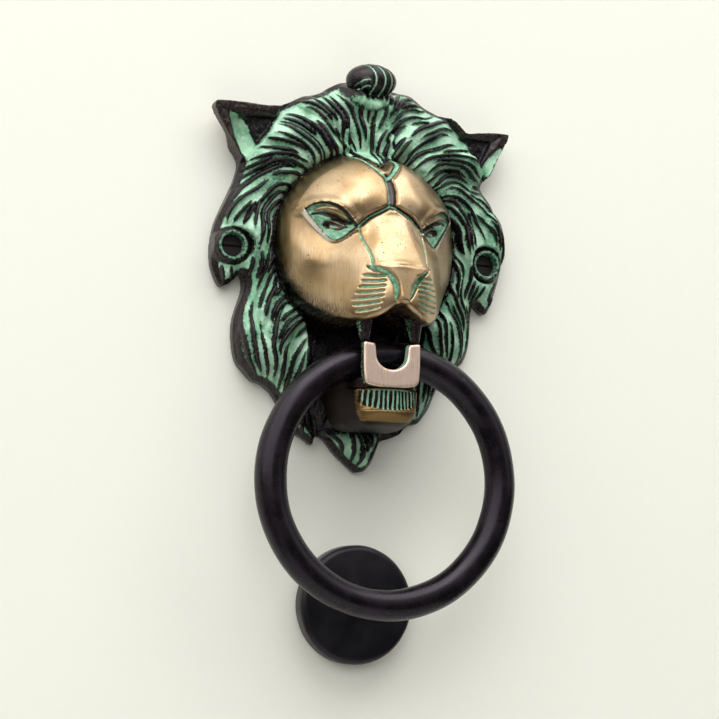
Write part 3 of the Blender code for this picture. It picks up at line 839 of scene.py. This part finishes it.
def ring_room(x, p, z):
    """How far a place is inside the room that the ring swings through."""
    off = np.clip(x - RING_X, -40.0, 40.0)
    drop = RING_RADIUS - np.sqrt(RING_RADIUS**2 - off**2)
    reach = drop + TUBE_RADIUS / np.sqrt(1 - (off / RING_RADIUS) ** 2) + 0.6
    return reach - np.hypot(p - PIVOT_P, z - PIVOT_Z)


def tooth_lines(x, z):
    """Upright grooves under the lower canines, a little uneven."""
    wander = 0.30 * lattice_noise(x, z * 0.4, 2.3, 71) + 0.10 * x / 11.0 * (z + 58.0)
    return 0.5 + 0.5 * np.cos(2 * np.pi * (x + wander) / 1.72)


# How the jaw's half width, top and bottom change with the height off the door, and its front with z
JAW_BACK_P = 12.3
JAW_HALF = ([JAW_BACK_P, 22, 32, 38.6, 42], [17, 15.6, 13, 11.6, 10.8])
JAW_TOP = ([JAW_BACK_P, 22, 32, 38.6, 42], [-51, -51, -49.5, -50, -51])
JAW_BOTTOM = ([JAW_BACK_P, 22, 32, 37, 41], [-69, -69, -68.2, -67.6, -65.5])
JAW_FRONT = (
    [-70, -68, -66.5, -64.5, -62.9, -62.2, -58, -54.6, -54.2, -50],
    [31, 36, 39, 41, 41.7, 40.6, 40.9, 41, 38, 38],
)
# The notch between the lower canines
NOTCH_X, NOTCH_Z, NOTCH_RADIUS = -1.0, -42.4, 6.2


def jaw_solid(x, p, z):
    """The jaw and the block of the two lower canines, with the grooves under them."""
    ax = np.abs(x)
    half = np.interp(p, *JAW_HALF)
    top = np.interp(p, *JAW_TOP)
    bottom = np.interp(p, *JAW_BOTTOM)
    half = half * (1 - 0.30 * np.clip((-56.0 - z) / 13.0, 0, 1) ** 2)
    front = np.interp(z, *JAW_FRONT) - 0.042 * x**2
    body = smooth_max(ax - half, z - top, 1.6)
    body = smooth_max(body, bottom - z, 4.0)
    body = smooth_max(body, (p - front) * 0.8, 1.6)
    body = np.maximum(body, JAW_BACK_P - p)
    bx = x - NOTCH_X
    block_half = 11.2 - 0.06 * np.clip(-46.0 - z, 0, 6)
    corner = smooth_max(np.abs(bx) - block_half, -54.7 + 0.012 * bx**2 - z, 2.2)
    block = smooth_max(corner, np.abs(p - 40.3) - 1.95, 0.7)
    block = smooth_max(block, z + 37.8 + 0.12 * (11 - np.abs(bx)), 0.9)
    above = z - NOTCH_Z
    notch = np.where(above > 0, np.abs(bx) - 0.10 * above, np.hypot(bx, 1.15 * above)) - NOTCH_RADIUS
    block = smooth_max(block, -notch, 0.9)
    jaw = np.minimum(body, block)
    band = ramp(z - 0.020 * x**2, -63.4, -62.4) * ramp(-z, 55.3, 56.0) * ramp(11.8 - ax, 0, 1.2)
    stripes = tooth_lines(x, z)
    line = ramp(-np.abs(z + 55.2), -0.6, -0.1)
    deep = np.maximum(band * ramp(stripes, 0.35, 0.9), line * ramp(12 - ax, 0, 1)) * ramp(p, 34.0, 37.0)
    jaw = jaw + 0.75 * deep
    jaw = np.maximum(jaw, ring_room(x, p, z))
    for side in (-1, 1):
        hole = np.hypot(x - side * JAW_SCREW_X, z - JAW_SCREW_Z) - JAW_SCREW_HOLE
        jaw = np.maximum(jaw, -np.maximum(hole, p - 24.5))
    return jaw


def jaw_fields(cx, cp, cz):
    """Where verdigris, dark and bare metal lie on the jaw, with painted shade around the canines' block and
    on the underside, and the block's front painted light as a reflection.
    """
    band = ramp(cz - 0.020 * cx**2, -63.2, -62.4) * ramp(-cz, 55.0, 55.6) * ramp(cp, 34.0, 37.0)
    stripes = tooth_lines(cx, cz)
    green = 0.85 * band * ramp(stripes, 0.40, 0.80)
    line = ramp(-np.abs(cz + 55.2), -0.5, -0.1) * ramp(cp, 37.0, 38.5)
    on_block = ramp(cz, -54.6, -54.1) * ramp(cp, 37.6, 38.4)
    sides = on_block * ramp(-cp, -41.75, -41.25)
    in_notch = ramp(-np.hypot(cx - NOTCH_X, np.minimum(cz - NOTCH_Z, 0)), -7.4, -6.8) * sides
    dark = 0.9 * band * (1 - ramp(stripes, 0.5, 0.9)) + ramp(-cp, -35.0, -30.0) + 0.9 * sides
    # Painted shade: the jaw's body around the canines' block, above the grooves, and its underside are
    # darkened.
    dark = dark + ramp(cz, -55.0, -54.6) * (1 - on_block)
    dark = dark + ramp(-cz, 66.2, 67.6) + 0.4 * ramp(-cp, -38.5, -36.0)
    return {
        "green": np.clip(green + 0.7 * line + 0.42 * sides + 0.6 * in_notch * ramp(cx, -3.0, 1.0), 0, 1),
        "dark": np.clip(dark, 0, 1),
        # The block's front is polished bronze, painted lighter as a reflection.
        "bare_and_sheen": on_block * (1 - sides),
        "shade": ramp(np.abs(cx), 9.0, 15.0),
    }


def build_jaw(finish):
    xs = np.arange(-20.0, 20.1, STEP)
    ps = np.arange(10.8, 46.0, STEP)
    zs = np.arange(-72.0, -35.0, STEP)
    jaw = jaw_solid(xs[:, None, None], ps[None, :, None], zs[None, None, :])
    points, faces = net_of(jaw.astype(np.float32), (xs[0], ps[0], zs[0]), STEP)
    obj = piece("lower_jaw_detail", points, faces, jaw_fields(*points.T), finish)
    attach(obj, "door_fixed")
    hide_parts("lower_jaw")


# ---------------------------------------------------------------- ring and strike plate


# Small nicks in the ring: the angle along it, the angle round its tube, and the size
NICKS = [(0.62, 1.2, 0.9), (1.9, 1.5, 0.7), (4.4, 1.1, 0.8), (5.3, 1.9, 0.6), (3.3, 1.0, 0.7)]


def build_ring(finish):
    """The ring, cast and filed by hand, so its thickness wavers a little."""
    along, around = 420, 64
    t = np.linspace(0, 2 * np.pi, along, endpoint=False)[:, None]
    s = np.linspace(0, 2 * np.pi, around, endpoint=False)[None, :]
    waver = 0.07 * np.sin(3 * t + 0.6) + 0.05 * np.sin(7 * t + 2 * s) + 0.04 * np.sin(13 * t - s)
    waver = waver + 0.05 * lattice_noise(40 * np.cos(t) + 3 * s, 40 * np.sin(t) + 2 * s, 6.0, 61)
    nicks = np.zeros((along, around))
    for nick_t, nick_s, size in NICKS:
        dt = RING_RADIUS * np.abs((t - nick_t + np.pi) % (2 * np.pi) - np.pi)
        ds = TUBE_RADIUS * np.abs((s - nick_s + np.pi) % (2 * np.pi) - np.pi)
        nicks = nicks + 0.22 * np.exp(-(dt**2 + 2 * ds**2) / size**2)
    tube = TUBE_RADIUS - 0.03 + waver - nicks
    reach = RING_RADIUS + tube * np.cos(s)
    x = RING_X + reach * np.sin(t)
    p = PIVOT_P + tube * np.sin(s) + 0 * t
    z = PIVOT_Z - RING_RADIUS + reach * np.cos(t)
    i = np.arange(along)[:, None]
    j = np.arange(around)[None, :]
    i2, j2 = (i + 1) % along, (j + 1) % around
    quads = np.stack([i * around + j, i2 * around + j, i2 * around + j2, i * around + j2], -1).reshape(-1, 4)
    obj = piece("ring_cast", np.stack([x, p, z], -1).reshape(-1, 3), quads, {}, finish)
    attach(obj, "ring")
    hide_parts("knocker_ring")


def build_plate(finish):
    """The strike plate: a turned disc with a rounded edge and a faintly domed front."""
    radius, edge, flat, deepen = 22.5, 2.6, 6.3, 0.905
    profile = [(0.0, radius - 0.7), (0.25, radius - 0.2), (0.8, radius), (flat, radius)]
    for angle in np.pi / 2 * np.arange(1, 13) / 12:
        profile.append((flat + edge * np.sin(angle), radius - edge * (1 - np.cos(angle))))
    profile = [(p * deepen, r) for p, r in profile] + [(8.30, 18.0), (8.62, 13.0), (8.84, 7.0)]
    around = 160
    t = np.linspace(0, 2 * np.pi, around, endpoint=False)
    waver = 1 + 0.0012 * np.sin(5 * t + 1) + 0.0009 * np.sin(11 * t)
    xs, zs = waver * np.sin(t), waver * np.cos(t)
    bm = bmesh.new()
    rings = [
        [bm.verts.new((r * x * MM, -p * MM, (PLATE_Z + r * z) * MM)) for x, z in zip(xs, zs)]
        for p, r in profile
    ]
    back, front = (bm.verts.new((0, -p * MM, PLATE_Z * MM)) for p in (0.0, 8.92))
    nexts = [(j, (j + 1) % around) for j in range(around)]
    for low, high in zip(rings[:-1], rings[1:]):
        for j, j2 in nexts:
            bm.faces.new((low[j], high[j], high[j2], low[j2]))
    for j, j2 in nexts:
        bm.faces.new((back, rings[0][j], rings[0][j2]))
        bm.faces.new((front, rings[-1][j2], rings[-1][j]))
    bmesh.ops.recalc_face_normals(bm, faces=bm.faces)
    mesh = bpy.data.meshes.new("strike_plate_cast")
    bm.to_mesh(mesh)
    bm.free()
    mesh.shade_smooth()
    obj = add_object("strike_plate_cast", mesh, finish)
    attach(obj, "door_fixed")
    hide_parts("strike_plate")


# ---------------------------------------------------------------- finishes


class Finish:
    """A material under construction, with short names for the nodes it needs."""

    def __init__(self, name):
        self.material = bpy.data.materials.new(name)
        self.material.use_nodes = True
        self.tree = self.material.node_tree
        self.shader = self.tree.nodes["Principled BSDF"]
        self.coords = self.node("TexCoord")

    def node(self, kind, **sockets):
        made = self.tree.nodes.new("ShaderNode" + kind)
        for name, value in sockets.items():
            self.put(made.inputs[name], value)
        return made

    def put(self, socket, value):
        if isinstance(value, bpy.types.NodeSocket):
            self.tree.links.new(value, socket)
        elif isinstance(value, tuple):
            socket.default_value = (*value, 1.0) if len(socket.default_value) == 4 else value
        else:
            socket.default_value = value

    def field(self, name):
        made = self.node("Attribute")
        made.attribute_name = name
        return made.outputs["Fac"]

    def placed(self, stretch=(1.0, 1.0, 1.0)):
        return self.node("Mapping", Scale=stretch, Vector=self.coords.outputs["Object"]).outputs["Vector"]

    def noise(self, size, detail=3.0, stretch=(1.0, 1.0, 1.0)):
        place, scale = self.placed(stretch), 1.0 / (size * MM)
        return self.node("TexNoise", Vector=place, Scale=scale, Detail=detail, Roughness=0.55).outputs["Fac"]

    def cells(self, size):
        return self.node("TexVoronoi", Vector=self.placed(), Scale=1.0 / (size * MM)).outputs["Distance"]

    def math(self, operation, a, b):
        made = self.node("Math")
        made.operation = operation
        self.put(made.inputs[0], a)
        self.put(made.inputs[1], b)
        return made.outputs[0]

    def step(self, value, low, high, to_low=0.0, to_high=1.0):
        made = self.node("MapRange")
        made.interpolation_type = "SMOOTHSTEP"
        for socket, number in zip(made.inputs[:5], (value, low, high, to_low, to_high)):
            self.put(socket, number)
        return made.outputs[0]

    def mix(self, share, a, b):
        made = self.node("Mix")
        made.data_type = "RGBA"
        for n, value in ((0, share), (6, a), (7, b)):
            self.put(made.inputs[n], value)
        return made.outputs[2]

    def bump(self, height, distance, strength=1.0, over=None):
        made = self.node("Bump", Strength=strength, Distance=distance * MM, Height=height)
        if over is not None:
            self.put(made.inputs["Normal"], over)
        return made.outputs["Normal"]

    def done(self, **sockets):
        for name, value in sockets.items():
            self.put(self.shader.inputs[name.replace("_", " ")], value)
        return self.material


VERDIGRIS_PALE = (0.50, 0.75, 0.55)
VERDIGRIS = (0.20, 0.45, 0.27)
SOOT = (0.0050, 0.0036, 0.0046)


def verdigris_cover(f, speckle):
    """Where verdigris lies: the carved field, broken up by speckles."""
    ragged = f.math("ADD", f.field("green"), f.step(speckle, 0.3, 0.7, -0.22, 0.16))
    return f.step(ragged, 0.34, 0.62)


def mane_finish():
    f = Finish("mane_patina")
    speckle = f.noise(0.9, 4.0)
    patches = f.noise(7.0, 3.0)
    green = verdigris_cover(f, speckle)
    tone = f.mix(f.step(patches, 0.35, 0.65), VERDIGRIS, VERDIGRIS_PALE)
    tone = f.mix(f.step(speckle, 0.52, 0.75), tone, (0.68, 0.86, 0.72))
    tone = f.mix(f.step(f.field("green"), 0.45, 0.95, 0.75, 0.0), tone, (0.030, 0.15, 0.065))
    worn = f.math("MULTIPLY", f.field("bare_and_sheen"), f.step(speckle, 0.35, 0.65))
    ground = f.mix(f.step(f.noise(2.2, 3.0), 0.4, 0.7), SOOT, (0.018, 0.011, 0.012))
    ground = f.mix(worn, ground, (0.085, 0.055, 0.042))
    colour = f.mix(green, ground, tone)
    return f.done(
        Base_Color=colour,
        Metallic=0.0,
        Specular_IOR_Level=0.30,
        Roughness=f.math("ADD", f.step(green, 0.2, 0.8, 0.22, 0.78), f.step(speckle, 0.3, 0.7, -0.07, 0.09)),
        Normal=f.bump(speckle, 0.16, 0.8, over=f.bump(f.noise(0.35, 2.0), 0.05, 0.6)),
    )


def face_finish():
    f = Finish("face_bronze")
    speckle = f.noise(0.7, 3.0)
    clouds = f.noise(14.0, 2.0)
    brushed = f.noise(0.5, 3.0, (1.0, 1.0, 0.05))
    green = verdigris_cover(f, speckle)
    metal = f.mix(f.step(clouds, 0.35, 0.68), (0.43, 0.283, 0.125), (0.57, 0.410, 0.238))
    metal = f.mix(f.step(brushed, 0.40, 0.72, 0.0, 0.32), metal, (0.29, 0.165, 0.085))
    # Painted shade with tarnish: the right cheek and the face's rim darken towards olive.
    tarnish_and_side_shade = f.math("MULTIPLY", f.field("tarnish_and_side_shade"), f.step(clouds, 0.2, 0.6, 0.7, 1.0))
    metal = f.mix(tarnish_and_side_shade, metal, (0.15, 0.100, 0.042))
    # Bare places: worn bronze, and the eye's lower edge painted near-white as a highlight.
    metal = f.mix(f.field("bare_and_sheen"), metal, (0.97, 0.90, 0.82))
    pits = f.step(f.cells(1.9), 0.10, 0.17, 1.0, 0.0)
    pits = f.math("MULTIPLY", pits, f.step(f.noise(5.0, 2.0), 0.52, 0.62))
    # Painted shade: the shade field, broken into upright streaks, darkens the metal.
    streaked_shade = f.math("MULTIPLY", f.field("shade"), f.step(f.noise(0.4, 2.0, (1.0, 1.0, 0.04)), 0.20, 0.85))
    dark = f.math("ADD", f.field("dark"), f.step(speckle, 0.3, 0.7, -0.16, 0.12))
    dark = f.step(dark, 0.30, 0.68)
    dark = f.math("MAXIMUM", dark, f.math("MAXIMUM", pits, streaked_shade))
    colour = f.mix(dark, metal, (0.022, 0.014, 0.012))
    patina = f.mix(f.step(f.noise(1.6, 3.0), 0.40, 0.62), (0.13, 0.37, 0.21), (0.36, 0.66, 0.45))
    patina = f.mix(f.step(f.field("green"), 0.5, 0.98, 0.7, 0.0), patina, (0.06, 0.16, 0.09))
    colour = f.mix(green, colour, patina)
    rough = f.math("ADD", f.step(brushed, 0.3, 0.7, 0.30, 0.44), f.step(green, 0.2, 0.8, 0.0, 0.45))
    return f.done(
        Base_Color=colour,
        Metallic=f.step(green, 0.2, 0.8, 1.0, 0.0),
        Roughness=rough,
        Coat_Weight=0.35,
        Coat_Roughness=0.26,
        Coat_IOR=1.85,
        Normal=f.bump(brushed, 0.035, 0.7, over=f.bump(f.math("MULTIPLY", pits, -1.0), 0.20, 1.0)),
    )


def jaw_finish():
    f = Finish("jaw_bronze")
    speckle = f.noise(0.7, 3.0)
    brushed = f.noise(0.5, 3.0, (1.0, 1.0, 0.10))
    green = verdigris_cover(f, speckle)
    # Painted reflection: the polished front of the lower canines' block is painted pale bronze.
    metal = f.mix(f.field("bare_and_sheen"), (0.25, 0.160, 0.062), (0.98, 0.76, 0.61))
    metal = f.mix(f.step(brushed, 0.42, 0.72, 0.0, 0.35), metal, (0.24, 0.12, 0.07))
    dark = f.step(f.math("ADD", f.field("dark"), f.step(speckle, 0.3, 0.7, -0.2, 0.15)), 0.3, 0.7)
    colour = f.mix(dark, metal, (0.020, 0.013, 0.012))
    colour = f.mix(green, colour, (0.30, 0.52, 0.36))
    return f.done(
        Base_Color=colour,
        Metallic=f.step(green, 0.2, 0.8, 1.0, 0.0),
        Roughness=f.math("ADD", f.step(brushed, 0.3, 0.7, 0.40, 0.52), f.step(green, 0.2, 0.8, 0.0, 0.3)),
        Normal=f.bump(brushed, 0.04, 0.8),
    )


def iron_finish(name, colour, lighter, rough, scratch_size):
    """Dark satin iron with fine scratches and worn, lighter clouds."""
    f = Finish(name)
    clouds = f.noise(9.0, 4.0)
    grain = f.noise(0.5, 3.0)
    scratches = f.noise(scratch_size, 2.0, (1.0, 1.0, 0.12))
    tone = f.mix(f.step(clouds, 0.40, 0.72), colour, lighter)
    tone = f.mix(f.step(scratches, 0.66, 0.76, 0.0, 0.35), tone, tuple(3.0 * c for c in lighter))
    cloudy = f.step(clouds, 0.3, 0.7, rough, rough + 0.12)
    return f.done(
        Base_Color=tone,
        Metallic=0.0,
        Specular_IOR_Level=0.38,
        Roughness=f.math("ADD", cloudy, f.step(grain, 0.3, 0.7, -0.04, 0.05)),
        Specular_Tint=(0.95, 0.84, 0.97),
        Normal=f.bump(grain, 0.016, 0.6, over=f.bump(scratches, 0.015, 0.4)),
    )


def back_finish():
    """The unfinished back of the casting, rough from the sand."""
    f = Finish("cast_back")
    grain = f.noise(0.8, 4.0)
    clouds = f.noise(9.0, 3.0)
    colour = f.mix(f.step(clouds, 0.35, 0.65), (0.085, 0.052, 0.034), (0.15, 0.095, 0.060))
    colour = f.mix(f.step(grain, 0.55, 0.75, 0.0, 0.5), colour, (0.05, 0.032, 0.024))
    return f.done(
        Base_Color=colour,
        Metallic=0.8,
        Roughness=f.step(grain, 0.3, 0.7, 0.5, 0.68),
        Normal=f.bump(grain, 0.25, 0.9, over=f.bump(f.noise(3.0, 2.0), 0.4, 0.6)),
    )


def steel_finish(name, colour, rough):
    f = Finish(name)
    turned = f.noise(0.3, 2.0)
    tone = f.mix(f.step(turned, 0.35, 0.7, 0.0, 0.5), colour, tuple(0.45 * c for c in colour))
    return f.done(
        Base_Color=tone, Metallic=1.0, Roughness=f.step(turned, 0.3, 0.7, rough, rough + 0.15),
        Normal=f.bump(turned, 0.03, 0.6),
    )


# ---------------------------------------------------------------- stage, light and camera


def plain_finish(name, colour, one_sided=False):
    f = Finish(name)
    grain = f.step(f.noise(3.0, 2.0), 0.3, 0.7, 0.0, 0.15)
    f.done(Base_Color=f.mix(grain, colour, tuple(0.96 * c for c in colour)), Roughness=0.55)
    if one_sided:
        clear, side, both = f.node("BsdfTransparent"), f.node("NewGeometry"), f.node("MixShader")
        f.tree.links.new(side.outputs["Backfacing"], both.inputs[0])
        f.tree.links.new(f.shader.outputs[0], both.inputs[1])
        f.tree.links.new(clear.outputs[0], both.inputs[2])
        f.tree.links.new(both.outputs[0], f.tree.nodes["Material Output"].inputs["Surface"])
    return f.material


def flat_sheet(name, corners, faces, finish):
    mesh = bpy.data.meshes.new(name)
    mesh.from_pydata(corners, [], faces)
    obj = add_object(name, mesh, finish)


# The wall's face, just behind the castings' rims, in metres
WALL_Y = 0.0003


def wall_cells(low, high):
    """The wall as a grid of squares, left open behind the castings so that light reaches their backs."""
    fine_x = np.arange(-66.0, 66.1, 1.5) * MM
    fine_z = np.arange(-160.0, 80.1, 1.5) * MM
    xs = np.concatenate([[low[0]], fine_x, [high[0]]])
    zs = np.concatenate([[low[1]], fine_z, [high[1]]])
    cx = (xs[1:] + xs[:-1])[:, None] / 2 / MM + 0 * zs[None, 1:]
    cz = (zs[1:] + zs[:-1])[None, :] / 2 / MM + 0 * xs[1:, None]
    under_ear = (ear_reach(cx, cz) > -1.0) & (cz > EAR_BOTTOM_Z)
    behind = (depth_inside(cx, cz, MASK_OUTLINE) > 1.8) & ~under_ear
    behind |= np.hypot(cx, cz - PLATE_Z) < 20.5
    corners = [(x, WALL_Y, z) for x in xs for z in zs]
    count = len(zs)
    faces = [(i * count + j, (i + 1) * count + j, (i + 1) * count + j + 1, i * count + j + 1)
             for i, j in np.argwhere(~behind).tolist()]
    return corners, faces


def build_stage():
    """A pale wall that the knocker hangs on, and a pale floor well below it, in metres."""
    half, height, front_y = 1.6, 4.0, -2.4
    floor_z = cad_low.z - 1.50
    corners, faces = wall_cells((-half, floor_z), (half, floor_z + height))
    flat_sheet("wall", corners, faces, plain_finish("wall_paint", (0.96, 0.955, 0.84), one_sided=True))
    floor = [(x, y, floor_z) for x, y in ((-half, front_y), (half, front_y), (half, half), (-half, half))]
    flat_sheet("floor", floor, [(0, 1, 2, 3)], plain_finish("floor_paint", (0.66, 0.66, 0.63)))


def soft_light(name, place, target, size, power):
    data = bpy.data.lights.new(name, "AREA")
    data.shape = "RECTANGLE"
    data.size, data.size_y = size
    data.energy = power
    obj = bpy.data.objects.new(name, data)
    obj.location = place
    obj.rotation_mode = "QUATERNION"
    obj.rotation_quaternion = (Vector(target) - Vector(place)).to_track_quat("-Z", "Y")
    bpy.context.scene.collection.objects.link(obj)


def build_lights():
    """A broad soft light from the upper left, little from the other side, and darkness from below."""
    middle = (0.0, -0.02, -0.03)
    soft_light("key", (-1.5, -1.6, 1.5), middle, (4.0, 3.2), 66.0)
    soft_light("sky", (0.16, -0.88, 1.6), middle, (2.4, 1.44), 25.0)
    soft_light("fill", (0.95, -0.85, 0.45), middle, (0.6, 0.9), 1.0)
    soft_light("rear", (-0.35, 0.90, 0.35), middle, (0.8, 0.8), 7.0)
    world = bpy.data.worlds.new("studio")
    world.use_nodes = True
    tree = world.node_tree
    background = tree.nodes["Background"]
    coords = tree.nodes.new("ShaderNodeTexCoord")
    parts = tree.nodes.new("ShaderNodeSeparateXYZ")
    ramp_up = tree.nodes.new("ShaderNodeMapRange")
    blend = tree.nodes.new("ShaderNodeMix")
    blend.data_type = "RGBA"
    ramp_up.inputs["From Min"].default_value = -0.05
    ramp_up.inputs["From Max"].default_value = 0.85
    blend.inputs[6].default_value = (0.10, 0.095, 0.09, 1.0)
    blend.inputs[7].default_value = (0.93, 0.95, 1.0, 1.0)
    tree.links.new(coords.outputs["Generated"], parts.inputs[0])
    tree.links.new(parts.outputs["Z"], ramp_up.inputs[0])
    tree.links.new(ramp_up.outputs[0], blend.inputs[0])
    tree.links.new(blend.outputs[2], background.inputs["Color"])
    background.inputs["Strength"].default_value = 0.80
    bpy.context.scene.world = world


# The camera's azimuth, elevation and roll in degrees, its distance and target in metres, and its lens in mm
CAMERA_TURN = (-21.79, -6.97, 0.55)
CAMERA_DISTANCE = 0.704
CAMERA_TARGET = (-0.00519, -0.020, -0.04194)
CAMERA_LENS, CAMERA_SENSOR = 93.5, 36.0


def build_camera():
    """A long lens to the left of the object and a little below it."""
    azimuth, elevation, roll = np.radians(CAMERA_TURN)
    level = np.cos(elevation)
    back = Vector((np.sin(azimuth) * level, -np.cos(azimuth) * level, np.sin(elevation)))
    right = (-back).cross(Vector((0, 0, 1))).normalized()
    up = back.cross(right)
    turned_right = right * np.cos(roll) + up * np.sin(roll)
    turned_up = -right * np.sin(roll) + up * np.cos(roll)
    data = bpy.data.cameras.new("camera")
    data.sensor_width = CAMERA_SENSOR
    data.lens = CAMERA_LENS
    data.clip_start, data.clip_end = 0.01, 20.0
    cam = bpy.data.objects.new("camera", data)
    cam.matrix_world = Matrix.Translation(Vector(CAMERA_TARGET) + back * CAMERA_DISTANCE) @ Matrix(
        (turned_right, turned_up, back)
    ).transposed().to_4x4()
    bpy.context.scene.collection.objects.link(cam)
    bpy.context.scene.camera = cam
    bpy.context.scene.view_settings.view_transform = "Standard"


def dress_nodes():
    """The fasteners keep their CAD shapes and get their own finishes."""
    blackened = steel_finish("screw_black", (0.045, 0.040, 0.038), 0.42)
    bright = steel_finish("screw_bright", (0.52, 0.51, 0.49), 0.30)
    for finish, names in (
        (blackened, ("fixing_screw_left", "fixing_screw_right")),
        (bright, ("strike_stud", "jaw_screw_left", "jaw_screw_right", "jaw_washer_left", "jaw_washer_right")),
    ):
        for name in names:
            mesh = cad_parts[name].data
            mesh.materials.clear()
            mesh.materials.append(finish)


def main():
    build_camera()
    finishes = {"face": face_finish(), "mane": mane_finish(), "back": back_finish()}
    points, faces, fields, underside = build_mask()
    split_mask(points, faces, fields, underside, finishes)
    build_jaw(jaw_finish())
    build_ring(iron_finish("ring_black", (0.0022, 0.0013, 0.0020), (0.0075, 0.0045, 0.0072), 0.23, 0.8))
    build_plate(iron_finish("plate_black", (0.0035, 0.0035, 0.0040), (0.0075, 0.0075, 0.0085), 0.32, 1.2))
    dress_nodes()
    build_stage()
    build_lights()


main()
